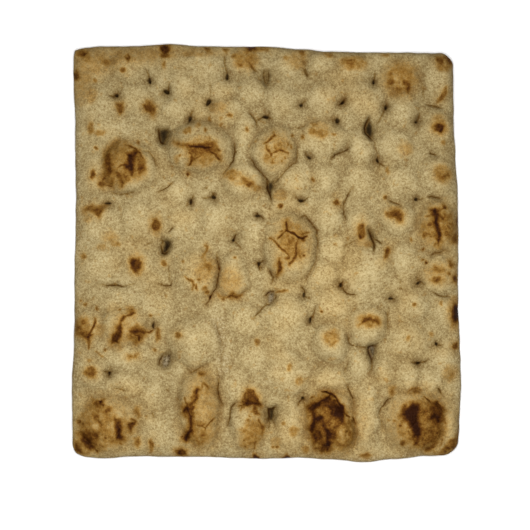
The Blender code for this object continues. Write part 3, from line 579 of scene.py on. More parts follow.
# The scorches, region by region: filled patches, then lines, then small spots and faint glows.
STAINS = each(
    Stain,
    # The western blister.
    (AMBER, 1.6, ((-60.3, 45.2), (-55.3, 43.7), (-50.9, 40.2), (-48.5, 36.9), (-48.3, 31), (-50.4, 29.6),
     (-55.3, 28.9), (-57.2, 26.3), (-58.7, 26.3), (-60.3, 28.9), (-61.7, 25.8), (-66.5, 25.8), (-68.3, 30),
     (-65.7, 31.4), (-65, 40.7), (-62.5, 43.7))),
    (RUSSET, 1.2, ((-65.2, 40.4), (-62.4, 41.6), (-60.8, 37.2), (-60.6, 33), (-61.6, 29.4), (-64.6, 29.8),
     (-65.4, 34.5))),
    (BROWN, 0.9, ((-64.2, 38.8), (-62.6, 39.8), (-61.8, 36.8), (-61.6, 33), (-62.4, 30.8), (-64, 31.4),
     (-64.2, 35))),
    (DARK, 1.1, ((-56.2, 39.6), (-54, 40.8), (-51.4, 40.4), (-52, 37), (-52.8, 33.8), (-53.6, 30.4),
     (-55.4, 32.8), (-57.2, 34.4), (-55.4, 36.8))),
    (CHAR, 1, ((-55.4, 39.2), (-53, 39.4), (-52.9, 36), (-53.8, 32.8), (-55.4, 34.6))),
    (RUSSET, 1.2, ((-52.2, 40.4), (-49, 38), (-48.6, 34.4), (-50.2, 30.4), (-52.2, 32.8), (-51.8, 36.6))),
    (AMBER, 1.2, ((-61.4, 34), (-59, 32.6), (-55.4, 33.4), (-55.2, 30), (-57.4, 26.6), (-59.4, 28.6),
     (-61.6, 30.4))),
    (BROWN, 1.12, ((-52, 38.3), (-50.4, 38.3), (-48.9, 34.1), (-49.2, 31.5), (-51.8, 32.7))),
    (BROWN, 0.8, ((-59.8, 32.4), (-58.2, 31.5), (-56.8, 28.1), (-57.5, 26.3), (-58.6, 28.4), (-59.8, 30))),
    # The north-western blister.
    (RUSSET, 1.1, ((-37.4, 44.5), (-32.2, 43), (-28.8, 43.6), (-25.8, 42.6), (-24.4, 44.2), (-20, 44.2),
     (-19.4, 41.2), (-18.8, 39.2), (-18, 36.4), (-21.2, 38.6), (-25, 38.8), (-27.4, 37.6), (-29, 36.2),
     (-31, 35.4), (-30.4, 37.6), (-30.4, 39.6), (-32.4, 41.2), (-35.2, 42.8))),
    (BROWN, 0.9, ((-35.4, 43.4), (-31.6, 42.7), (-26, 42.9), (-23.6, 43.8), (-20.6, 43.6), (-20.6, 40.6),
     (-23.4, 39.9), (-27, 41.1), (-31, 41.7))),
    (RUSSET, 1.2, ((-10.2, 30.2), (-8, 29.6), (-5.4, 28.2), (-4.2, 26.2), (-6.2, 25.8), (-8.4, 27.4),
     (-9.6, 28.6))),
    # The middle.
    (AMBER, 1.44, ((8, 8.4), (10, 7.2), (13, 5.6), (15.4, 5.2), (14.2, 1), (14, -1.7), (12.4, -2.2), (9, -5),
     (10, -2.5), (8.3, -3), (8, -0.8), (6, 1), (4.4, 4), (6, 6.8))),
    (AMBER, 1.12, ((8.6, 8.9), (9.3, 11.4), (13.4, 10.9), (13.8, 9), (17.3, 8.3), (15.8, 7.6), (14, 6.3),
     (10.4, 7.5))),
    (CHAR, 0.64, ((7.2, 12.4), (7.9, 12.3), (8.6, 10.4), (8.4, 8.8), (7.7, 8.6), (7.8, 10))),
    (DARK, 0.8, ((5.1, -2.6), (4.5, -5.5), (4.8, -7.6), (4.1, -8.9), (5.3, -8), (6.1, -6.8), (5.5, -4))),
    (OCHRE, 1.44, ((-24.5, -1), (-20.6, -3.6), (-20.4, -8), (-23, -12.5), (-27, -12), (-29, -9), (-27, -5))),
    (RUSSET, 1.12, ((-24.5, -2.5), (-23.2, -4.2), (-22.4, -4), (-21.7, -5.3), (-21.9, -7.2), (-23, -8.1),
     (-24.1, -6))),
    (STRAW, 1.28, ((-19.6, -14.5), (-15.5, -15.5), (-9.6, -16.6), (-10, -18.4), (-17.6, -19.2),
     (-19.6, -17.4))),
    (RUSSET, 0.8, ((-19.6, -16.6), (-17.2, -17.6), (-15.5, -17.5), (-15.1, -16.4), (-13.6, -15.5),
     (-11.7, -17), (-9.6, -17), (-11.7, -18.7), (-15.5, -18.1), (-18.9, -17.7))),
    (DARK, 0.8, ((37.4, -28.6), (38.6, -26.6), (41, -25.9), (43.6, -26.4), (44.8, -28.2), (42.6, -27.9),
     (40.4, -27.6))),
    # The east.
    (AMBER, 1.6, ((62.3, 11.3), (64.6, 12.1), (67.1, 11.8), (68.3, 7.8), (68.3, 5.6), (66.1, 4.7),
     (62.8, 6.3))),
    (AMBER, 1.6, ((69.7, 16.8), (73.7, 16), (76, 11.8), (76.8, 5.8), (76.5, 3), (74.2, 3.5), (70.2, 5.5),
     (69, 10))),
    (CHAR, 0.72, ((66.5, 17.4), (68.3, 17.5), (68.2, 15.7), (69.2, 15), (68.7, 12.3), (69.7, 8.3), (69.2, 4),
     (68.9, 2.4), (68.4, 6.3), (67.4, 9.8), (67.1, 14), (66, 14.7), (66.8, 15.6))),
    (BROWN, 1.3, ((66, 17.4), (69.4, 17.6), (70.2, 10), (69.6, 3), (68.2, 3.4), (66.6, 10), (65.4, 14.6))),
    (AMBER, 1.6, ((70, 15.6), (74.4, 15), (76, 10), (76.6, 3.6), (73, 4.4), (70, 6))),
    (BROWN, 0.64, ((70.3, 18.7), (71.2, 19.1), (72.5, 18.2), (71.7, 17.2), (70.4, 17.3))),
    (BROWN, 0.8, ((69.7, 13.9), (71.4, 14.1), (71.2, 12.6), (69.9, 12.1))),
    (BROWN, 0.96, ((74.4, 6.4), (76.3, 7.5), (76.8, 5.8), (76.5, 3.7), (75.2, 4.2), (74, 5))),
    (RUSSET, 1.12, ((66, -6.4), (67.4, -5), (69.7, -5.9), (71.2, -7.2), (70.2, -8.4), (67.9, -7.9))),
    (RUSSET, 0.8, ((65.4, -10.7), (67.1, -9.7), (69.8, -9.8), (69.8, -11.2), (68.4, -12.5), (65.6, -11.6))),
    (BROWN, 0.8, ((72.7, -3.6), (74.2, -3.9), (75.5, -5.1), (75.2, -6.4), (73.7, -6.1))),
    (DARK, 0.64, ((74.5, -9.9), (76, -9.2), (76.3, -11), (75.7, -12.2), (74.7, -11))),
    (BROWN, 1.2, ((48.2, 16), (50.6, 17.5), (53.2, 16.8), (54.6, 14.6), (54.6, 12.2), (52.6, 12.2),
     (51.2, 13.6), (49.4, 14.2))),
    # The south-west.
    (RUSSET, 1.28, ((-76, -27.1), (-74.6, -26.4), (-71.8, -26.6), (-71.4, -29), (-70, -31.3), (-69.1, -32.8),
     (-70.2, -34.8), (-73.1, -34.8), (-76.3, -32.8), (-76.8, -30.8))),
    (BROWN, 0.96, ((-76.4, -31.2), (-73.5, -32.2), (-70.2, -34), (-70.6, -35), (-73.5, -34.2),
     (-76.2, -32.8))),
    (DARK, 0.8, ((-57.5, -25.9), (-56.1, -25.6), (-57.5, -27.4), (-58.2, -27.9), (-57.4, -30.3),
     (-58, -32.6), (-58.5, -34), (-59.5, -35.5), (-59.6, -36.3), (-61.7, -36.4), (-61.4, -33.1),
     (-60, -31.8), (-59, -29.1), (-58.4, -26.6))),
    (AMBER, 1.12, ((-56, -22.2), (-54, -22.3), (-51.8, -23.6), (-52.5, -24.8), (-56.2, -24.8))),
    (OCHRE, 1.6, ((-60.5, -27), (-57.5, -24.6), (-51.2, -25.5), (-54.5, -30), (-55.5, -35), (-58.6, -38.8),
     (-63.4, -36.6), (-62.6, -31))),
    (RUSSET, 1.12, ((-52.1, -28.5), (-49.9, -29.6), (-47.9, -31.1), (-48.4, -33.3), (-49.9, -35),
     (-52.4, -37), (-53.8, -35.3), (-55.3, -34), (-55.1, -31.6), (-53.4, -29.8))),
    (DARK, 0.96, ((-54.6, -31.2), (-52, -30.4), (-49, -31.6), (-48.8, -32.6), (-51, -32.4), (-54, -32.4))),
    (RUSSET, 0.8, ((-55.8, -41), (-53.5, -41.4), (-51.2, -40.6), (-52, -42.2), (-54.5, -42.6))),
    (AMBER, 1.6, ((-72.5, -63), (-69.5, -58.6), (-66, -59), (-61.8, -61.6), (-60.6, -66), (-56.8, -66.6),
     (-53.6, -69), (-54.8, -73), (-57, -76.6), (-62, -77.6), (-68, -80), (-75.5, -79.8), (-76.8, -76),
     (-75, -70), (-74.4, -66))),
    (BROWN, 1.12, ((-74.3, -71.9), (-71.4, -70.5), (-69.9, -71.9), (-66.6, -71.9), (-66.6, -74.2),
     (-67.4, -76.4), (-68.5, -78.3), (-71.1, -78.9), (-72.2, -78.3), (-73.8, -74.5))),
    (DARK, 1.5, ((-74.8, -72), (-71.8, -73), (-69.9, -75.2), (-68.7, -78), (-70.5, -78.6), (-72.2, -78),
     (-73.8, -74.4))),
    (BROWN, 0.96, ((-69.4, -58.4), (-67.7, -58.7), (-66.6, -59.5), (-64.5, -58.9), (-64.9, -61.4),
     (-67.4, -62.2), (-69.3, -60.9))),
    (BROWN, 0.96, ((-69, -64.8), (-67.2, -64.2), (-66.5, -65.4), (-67, -66.4), (-69, -66.2))),
    (BROWN, 0.64, ((-68.3, -66.4), (-66.6, -67), (-65.2, -68.6), (-65.2, -69.4), (-66, -69.8),
     (-67.2, -68.4))),
    (BROWN, 0.96, ((-64.3, -63.4), (-63.9, -62), (-61.6, -62), (-62.1, -63.6), (-64, -64.4))),
    (BROWN, 0.8, ((-60.6, -65.3), (-59.8, -66.6), (-57.9, -67.1), (-57.5, -68.4), (-57.2, -70.4),
     (-57.9, -72.1), (-56.7, -74.2), (-57.3, -75.4), (-58.5, -75.6), (-60.2, -74.2), (-59.6, -72.3),
     (-60.4, -71.3), (-60.8, -68.6))),
    (DARK, 1.2, ((-60.6, -66.4), (-58.6, -66.8), (-57.6, -70), (-58, -75.2), (-60, -75), (-60, -71))),
    (DARK, 0.72, ((-55.4, -68.8), (-54.2, -68.2), (-52.6, -67.6), (-52.5, -68.8), (-53.6, -70.2),
     (-54, -71.6), (-54.9, -70.8))),
    (RUSSET, 1.28, ((-52.6, -63.8), (-51.9, -62.2), (-50.7, -62.8), (-50.5, -64.9), (-51.4, -66))),
    (BROWN, 0.96, ((-76.9, -75), (-75.3, -77), (-73.8, -79), (-71.5, -80.9), (-74.9, -80.6),
     (-76.7, -78.4))),
    (RUSSET, 1.28, ((-53, -74.6), (-50.7, -74.2), (-50.5, -76.7), (-51.5, -77.9), (-52.8, -77.3))),
    # The south.
    (BROWN, 0.96, ((-27.3, -47.9), (-24.7, -47.9), (-24.4, -48.9), (-25.6, -49.6), (-26.8, -49.2))),
    (BROWN, 1.2, ((-28.6, -54), (-26.6, -54.2), (-27.2, -58), (-28.6, -62), (-28.8, -66), (-28.4, -70),
     (-30.4, -74), (-32, -76.2), (-33.8, -74.8), (-31.4, -70.6), (-31, -66.4), (-33.4, -64.2),
     (-33.4, -60.8), (-30.4, -59.6))),
    (DARK, 1, ((-28, -54.2), (-26.8, -54.3), (-27.1, -55.6), (-27.4, -58.7), (-28.9, -60.2), (-29.2, -62.3),
     (-29.8, -62.8), (-29.7, -60.9), (-28.5, -58), (-28.2, -56.4))),
    (BROWN, 0.8, ((-31.8, -59.9), (-29.2, -59.7), (-29.2, -62.3), (-29.7, -65.2), (-30.4, -65.9),
     (-31.6, -63.3), (-32.1, -61.6))),
    (CHAR, 0.64, ((-32.9, -61.8), (-31.4, -61.4), (-30.9, -63.1), (-29.8, -65.9), (-30.1, -67.1),
     (-31.1, -64.4), (-32, -63.2), (-32.5, -64.3), (-33.3, -63.8))),
    (RUSSET, 1.12, ((-29.4, -65), (-28, -66.4), (-24.2, -67.8), (-23.7, -68.6), (-24.9, -69.7), (-28, -69.4),
     (-29.6, -68))),
    (CHAR, 0.72, ((-29.6, -68.8), (-29.3, -71.2), (-31.1, -73.6), (-31.6, -75), (-32.5, -75.4),
     (-32.9, -74.6), (-31.8, -72.4), (-30.6, -70.2))),
    (AMBER, 1.44, ((-29.3, -69.3), (-25.6, -69.8), (-23.5, -71), (-22.3, -73.6), (-24, -76.6),
     (-27.5, -77.6), (-30.6, -76), (-30.6, -73))),
    (RUSSET, 1.12, ((-28.6, -74.8), (-26.4, -75), (-25.6, -76.4), (-27, -77.1), (-28.4, -76))),
    (OCHRE, 1.6, ((-27, -57), (-25.8, -52), (-23.6, -52.4), (-21.5, -56.5), (-21, -60), (-24.7, -62.6),
     (-28.8, -63), (-28.8, -60.4))),
    (STRAW, 1.6, ((-32.8, -64.5), (-30.4, -66.4), (-30.8, -70), (-33, -74), (-35.6, -72.4), (-36.9, -70),
     (-35.7, -67))),
    (DARK, 0.8, ((-35.9, -79.6), (-34, -78.9), (-32.3, -79.8), (-32.1, -81.4), (-35.4, -81.6))),
    (BROWN, 0.8, ((-8, -54.6), (-5, -54.6), (-4, -57.6), (-3.2, -58), (-2, -61.6), (-3.6, -61.6),
     (-5.2, -60.6), (-6.6, -61.6), (-9, -61), (-9.4, -62), (-10, -59.4), (-8.6, -56.6))),
    (DARK, 0.8, ((-9.4, -61.2), (-8.2, -59.6), (-5, -59.6), (-3, -60.2), (-2.5, -61.4), (-5, -60.8),
     (-6.8, -61.2))),
    (BROWN, 0.8, ((-5.6, -61.2), (-3.6, -61.6), (-3.8, -63), (-2.4, -65.1), (-4.6, -64.9), (-6.2, -63.6),
     (-5.2, -62.4))),
    (AMBER, 1.44, ((-7.6, -66.8), (-3.6, -66.8), (-1, -69.6), (-1.4, -73), (-4.4, -78), (-8, -79),
     (-10, -77), (-10, -70.6), (-8, -70))),
    (RUSSET, 0.96, ((-4.8, -72.6), (-3.8, -71.4), (-3, -73), (-3.8, -74.6), (-4.8, -73.8))),
    (BROWN, 0.72, ((-2.2, -68.8), (-0.7, -69.2), (-0.9, -71.6), (-1.2, -73.4), (-2, -72.6), (-2.1, -70))),
    # The darkest blister.
    (CHAR, 0.96, ((25.9, -60.4), (28.2, -60.7), (30.4, -62), (31.2, -64.4), (31.2, -66.7), (30.4, -69.1),
     (29.3, -68.9), (29.8, -67), (28.2, -66.3), (25.9, -65.4), (25, -64.4), (25.4, -62.8), (24.4, -61.1))),
    (CHAR, 0.96, ((28.3, -60.6), (30.2, -61.6), (31, -64.1), (30.8, -65.2), (28.9, -65.2), (27.6, -64.2),
     (27.8, -62.2))),
    (DARK, 0.96, ((25.9, -57.2), (28.2, -59.2), (28.5, -61), (24.4, -61.6), (22.2, -61.1), (20.1, -63),
     (19.6, -64.4), (18.8, -66.1), (17.4, -64.1), (16.4, -62), (17.7, -60.5), (21.8, -59.4), (24.1, -58.7))),
    (DARK, 0.8, ((20, -60.3), (21.7, -60.7), (20.7, -62.2), (18.7, -62.2), (19, -61.1))),
    (CHAR, 0.72, ((19, -65), (19.6, -65.9), (22.2, -65.6), (22.6, -66.7), (21.1, -68.2), (19.6, -67.4),
     (19.4, -70.8), (18.3, -72.6), (17.7, -71), (17.8, -68.5), (18.5, -67.1))),
    (CHAR, 0.8, ((21.8, -65.4), (22.6, -66.3), (22.9, -67.8), (24.4, -70.2), (25.9, -72.4), (25.6, -73.8),
     (24.9, -74.4), (25.9, -76.1), (25.5, -77.6), (24.7, -77.8), (24.3, -79.7), (23.8, -79.6), (23.9, -75.4),
     (22.9, -70.8), (22, -68.2))),
    (DARK, 0.96, ((19.6, -70), (21.8, -71.3), (21.8, -73.6), (20.7, -74.4), (20.3, -76.2), (19.2, -76.4),
     (18.3, -72.8))),
    (RUSSET, 1.12, ((21.8, -71), (23.3, -72.3), (23.9, -76), (23, -79.8), (20.6, -78.6), (19.2, -75.8),
     (20.8, -73))),
    (DARK, 0.8, ((22.2, -76.2), (23.8, -76.4), (24.1, -79.2), (21.8, -80.1), (21.3, -79.4))),
    (BROWN, 0.96, ((25.8, -70.2), (27.4, -70.8), (27.8, -72.6), (27.1, -74.1), (26, -74.6))),
    (RUSSET, 0.96, ((27.8, -74.3), (30, -75.8), (31.4, -76.6), (30.6, -77.2), (28.2, -75.8), (27.1, -74.8))),
    (BROWN, 0.96, ((32.5, -70.8), (34.1, -71.2), (34.3, -72.6), (33.6, -74), (32.4, -73))),
    (AMBER, 1.6, ((31.3, -65.2), (33.6, -65.8), (35.3, -67.8), (36, -70), (36, -74.1), (34, -78), (30, -79),
     (25.2, -79.9), (19.4, -79.6), (16.6, -72), (15.6, -70), (17.6, -66), (16.2, -61.2), (22, -56.6),
     (27, -57.2))),
    (BROWN, 1.6, ((21, -57.5), (27, -57.3), (31.5, -62.5), (31.8, -69), (29, -71), (27.6, -76),
     (25.5, -79.5), (20, -78.5), (17.2, -71), (17, -66), (16.8, -61.5))),
    # The south-eastern blister.
    (AMBER, 1.6, ((56, -60), (60, -58.5), (66, -58.6), (71, -61), (72, -68), (71.4, -73), (68, -78),
     (62, -79.6), (56, -77.4), (52.6, -73), (52.2, -66))),
    (RUSSET, 2, ((58, -60.5), (66, -59.6), (70.8, -62), (71.2, -68), (69.6, -74), (66, -77.4), (61, -78.4),
     (57.4, -75), (56.4, -68), (55, -63))),
    (CHAR, 1.6, ((54.4, -61.8), (58.2, -60), (60.8, -61), (60.8, -65.6), (62.4, -70.6), (61.4, -74),
     (59.8, -76.4), (58, -72.6), (56.4, -67.6), (53.6, -65))),
    (CHAR, 1.1, ((57, -61.6), (59.4, -61), (59.6, -65.4), (61.2, -70.4), (60.6, -73.4), (59.2, -73),
     (57.6, -67.6), (55.6, -64.6))),
    (DARK, 1.5, ((64.7, -62.1), (66.2, -60.6), (68, -59.6), (69.8, -61.7), (70.2, -63.5), (69.5, -65.3),
     (70, -67.8), (68, -68.6), (64.8, -66.8), (65.6, -64.3))),
    (DARK, 0.96, ((66, -63.7), (68.5, -63.4), (69.3, -66), (68.9, -68.2), (67.5, -67.2), (65.8, -65.8))),
    (AMBER, 1.8, ((65.5, -67.5), (69.6, -66.5), (70.8, -70), (69.4, -74), (66.4, -76.6), (65.6, -72))),
    (BROWN, 0.8, ((63.2, -79.9), (63.4, -78.6), (65.8, -77.1), (67.1, -76.4), (66.9, -78), (64.8, -79.6))),
    (RUSSET, 0.96, ((76.4, -72.7), (77.2, -74.6), (75.9, -77.8), (72, -80.6), (67.6, -80.6), (70.9, -78.6),
     (72.6, -75.8), (75.9, -73.8))),
    (AMBER, 1.28, ((56.5, -56), (58.4, -54.2), (61.4, -54.6), (62.2, -56.2), (59.6, -57.6))),
    (RUSSET, 1.12, ((49.3, -54), (51.3, -54), (51.1, -55.8), (50.4, -57.1), (49.6, -56.4))),
    # The far edge and odd spots.
    (DARK, 0.9, ((-76.2, 80.2), (-74.4, 81.2), (-71.4, 80.8), (-72.8, 79.2), (-75.6, 78.6))),
    (OCHRE, 2.4, ((-76.5, 80.5), (-68, 82), (-50, 82.5), (-35, 82.5), (-37, 78), (-48, 76.8), (-56, 75.6),
     (-64, 73.2), (-70, 70), (-74, 60), (-77.5, 62))),
    (AMBER, 1.4, ((-68, 77.6), (-65, 78.2), (-62, 77.6), (-63.6, 75.2), (-64.6, 73.6), (-65.6, 75.4))),
    (RUSSET, 0.8, ((-60.4, 60), (-57.6, 60), (-57.2, 58), (-58.8, 55.2), (-60, 57.6))),
    (BROWN, 0.9, ((-49.2, 59.2), (-47, 60.4), (-44.6, 58.4), (-44.6, 56.6), (-45.6, 55.2), (-47.4, 56.6),
     (-49, 57.6))),
    (BROWN, 0.9, ((54.6, 69.4), (57.2, 69.2), (57.8, 66.4), (57.4, 63.6), (56.4, 63.8), (56, 66.4),
     (54.8, 67.4))),
    (RUSSET, 1, ((-73.2, 17.2), (-70.4, 18.9), (-64.2, 19), (-65.8, 16.2), (-67.4, 13.8), (-69.8, 15.8))),
    (BROWN, 0.8, ((-70.4, 17.6), (-66.2, 17.8), (-66.4, 15.8), (-67.6, 14.4), (-69.2, 16))),
)

STREAKS = each(
    Streak,
    # The western blister.
    (BROWN, 0.4, ((-57.9, 42.8), (-55.3, 42.6), (-53.4, 42.1), (-50.4, 39.2), (-48.7, 37.3))),
    (BROWN, 0.5, ((-59.6, 33.6), (-58, 34.7), (-56.5, 35.2), (-55.3, 34.1), (-54.7, 32.9))),
    (BROWN, 0.4, ((-64.5, 26.8), (-62.2, 26.3))),
    # The north-western blister.
    (CHAR, 0.55, ((-31, 42.3), (-27.5, 42), (-24, 41.7), (-21.6, 41.9))),
    (DARK, 0.45, ((-22.6, 40.4), (-20.4, 38.8), (-18.6, 36.8))),
    (BROWN, 0.5, ((-30.9, 39.9), (-29.7, 38.5), (-29.9, 36.5), (-30.9, 34.9))),
    (BROWN, 0.4, ((-25.6, 38.7), (-27.2, 37.8), (-29.5, 36.5))),
    (AMBER, 0.5, ((-22.7, 46), (-22.2, 44.4))),
    # The northern blister.
    (BROWN, 0.55, ((3, 48.3), (3, 46.4), (1.9, 45.3), (1, 44), (-0.6, 43.2))),
    (BROWN, 0.5, ((0, 42.4), (0.1, 41), (1.1, 40.6), (1.9, 39.5), (1.8, 38.2), (2.6, 35.8))),
    (BROWN, 0.5, ((1.9, 39.5), (4.8, 40.8), (7.4, 39.9), (8.8, 39.5))),
    (RUSSET, 0.4, ((3.5, 43), (3.4, 41.8), (4.3, 41))),
    (RUSSET, 0.4, ((8.2, 44.2), (8.6, 42.9), (7.7, 41.1))),
    # The middle.
    (CHAR, 0.6, ((8.2, 8.8), (9.2, 8), (10.2, 7.4), (11.5, 6.8), (12.4, 6.3), (13.1, 5.7))),
    (DARK, 0.5, ((12.4, 6.1), (13.1, 5.7), (14, 5.5), (15, 6), (16.2, 6.8))),
    (BROWN, 0.5, ((8.1, 8.8), (7.2, 7.9), (5.3, 6.2), (4.3, 5.1))),
    (BROWN, 0.5, ((1.2, 5.8), (3, 4.9), (4.8, 2.6), (6, 1.2), (7.5, 0.2), (8.2, -1), (8.9, -2.8))),
    (RUSSET, 0.4, ((13.8, 6.6), (14.8, 7.6), (15.8, 8.3), (17.5, 8))),
    (BROWN, 0.5, ((12.8, 5.4), (12.3, 3.8), (11.8, 2), (11.7, -0.5))),
    (BROWN, 0.75, ((11.7, -0.3), (11.3, -2.2), (10.4, -3.6), (9, -5.2))),
    (RUSSET, 0.5, ((-24.8, 2.5), (-24, 2), (-24.2, 0.5), (-25.8, -2))),
    (RUSSET, 0.4, ((-32.4, -9.7), (-31, -11), (-29.5, -11.6), (-29.1, -13.5), (-29.2, -15.5))),
    (BROWN, 0.3, ((-28.1, -12.8), (-28, -14.4), (-27.5, -15))),
    (DARK, 0.3, ((-15.8, -17.6), (-13.8, -17.3), (-11.5, -18.5))),
    (RUSSET, 0.5, ((4, -15.8), (6, -15.6), (8.5, -15.2))),
    # The east.
    (BROWN, 0.35, ((66.2, 14.9), (64.8, 14.4), (64, 14.3))),
    (BROWN, 0.4, ((68.8, 15.9), (69.6, 16.8), (71, 18))),
    (BROWN, 0.3, ((70, 8.8), (71.6, 8.3), (73.8, 7.8))),
    # The south-west.
    (DARK, 0.5, ((-68.4, -26.6), (-68.9, -29.1), (-69.9, -31.3), (-71.1, -33.3))),
    (BROWN, 0.75, ((-69.5, -30.6), (-70.1, -31.8), (-71.1, -33.6), (-70.9, -35.3), (-70.7, -37))),
    (DARK, 0.5, ((-69.2, -32.9), (-70.4, -33.4), (-71.6, -34.2))),
    (RUSSET, 0.4, ((-70.7, -36.5), (-71.1, -38.8))),
    (BROWN, 0.5, ((-56.5, -25.9), (-55, -25), (-53.8, -24.3), (-52.3, -24.6))),
    (DARK, 0.4, ((-53, -32.4), (-51.2, -34), (-51, -35.5))),
    (BROWN, 0.35, ((-48.6, -32), (-46.5, -32), (-45.6, -31.4))),
    (RUSSET, 0.9, ((-43.6, -30.6), (-43.5, -32.8), (-43.9, -35.4))),
    (RUSSET, 0.3, ((-68.2, -39.9), (-66.8, -40.5), (-65.5, -41.8))),
    (DARK, 0.35, ((-67.6, -58.9), (-66.7, -59.4), (-66.1, -59.8))),
    (RUSSET, 0.4, ((-64.6, -60.9), (-62, -61.7))),
    (RUSSET, 0.35, ((-59.2, -76.3), (-58, -77))),
    (BROWN, 0.35, ((-54.3, -66.7), (-52.8, -66.9), (-51.8, -67.4))),
    (DARK, 0.5, ((-77, -75.2), (-76.8, -77.2), (-75.8, -79.4), (-73.6, -80.9))),
    # The south.
    (RUSSET, 0.5, ((-26.1, -53.9), (-25.6, -52.7), (-24.7, -52.5), (-23.5, -53.7), (-23.2, -54.6))),
    (BROWN, 0.35, ((-31.8, -61.6), (-32, -59.9), (-32.6, -58.4))),
    (DARK, 0.6, ((-30, -65.2), (-29.8, -67.5), (-29.9, -69.6))),
    (BROWN, 0.35, ((-29.2, -69), (-27.5, -69.2), (-26, -69.1), (-24.6, -70.2), (-24.5, -71.2))),
    (BROWN, 0.35, ((-24.6, -70.2), (-23.8, -69), (-22.6, -68.1), (-21.2, -67.3), (-20.8, -66.6))),
    (DARK, 0.4, ((-5.4, -54.8), (-5, -55.8))),
    (DARK, 0.35, ((-8.3, -55.5), (-8.6, -57.5))),
    (BROWN, 0.3, ((-11.2, -61.9), (-10.1, -61.5), (-10.2, -63.8))),
    (RUSSET, 0.5, ((-4.4, -75.2), (-4.8, -76.5), (-4.6, -78.6))),
    (BROWN, 0.35, ((-2, -69), (-2.8, -68), (-3.2, -66.5))),
    (RUSSET, 0.5, ((-4.8, -80.2), (-4.4, -81.6))),
    # The darkest blister.
    (CHAR, 0.5, ((22, -55.9), (23.4, -55.9), (25.6, -56.6), (27.6, -57.7), (28.5, -59.6))),
    (CHAR, 0.6, ((28.2, -58.8), (29.1, -60.5), (30.8, -62.2), (30.9, -63.4), (31.3, -64.3))),
    (DARK, 0.4, ((31.2, -64.2), (32.3, -65.2), (33.5, -65.7))),
    (CHAR, 0.5, ((20, -60.5), (21.8, -59.6), (24.1, -58.7), (25.2, -57.7), (25.8, -56.8))),
    (RUSSET, 0.4, ((33, -65.7), (33.1, -67.5))),
    (BROWN, 0.4, ((34.7, -66), (35.1, -67.5), (35.8, -69))),
    (RUSSET, 0.4, ((17.6, -58.6), (19, -57.6), (20, -58.8), (18.4, -59.8))),
    # The south-eastern blister.
    (BROWN, 0.3, ((60, -62.7), (62, -63.5), (64.2, -63.7))),
    (DARK, 0.45, ((68, -59.8), (69.3, -61.4), (70.1, -63.4))),
    (DARK, 0.3, ((62.6, -58.1), (63.8, -58.6), (64.8, -59.3), (65.8, -60.1))),
    (RUSSET, 0.4, ((66.4, -73.4), (67.8, -74), (69, -75.2))),
    (RUSSET, 0.45, ((70.7, -66.3), (71.2, -69))),
    (RUSSET, 0.35, ((70.8, -74.3), (70, -76.4), (69, -77.6))),
    (BROWN, 0.4, ((66.8, -80.2), (70, -80.8), (73.6, -79.8), (76, -77.2), (76.8, -74.4))),
    (BROWN, 0.35, ((56.5, -71.4), (57.5, -73.2))),
    (RUSSET, 0.35, ((52.4, -63.2), (53.6, -64))),
    (RUSSET, 0.45, ((56.4, -55.9), (58, -54.7), (60.5, -54.3), (62, -55.6))),
    # The far edge and odd spots.
    (RUSSET, 1, ((72.3, 66), (71.8, 64.4), (70.4, 62.5), (68.6, 60.4))),
)

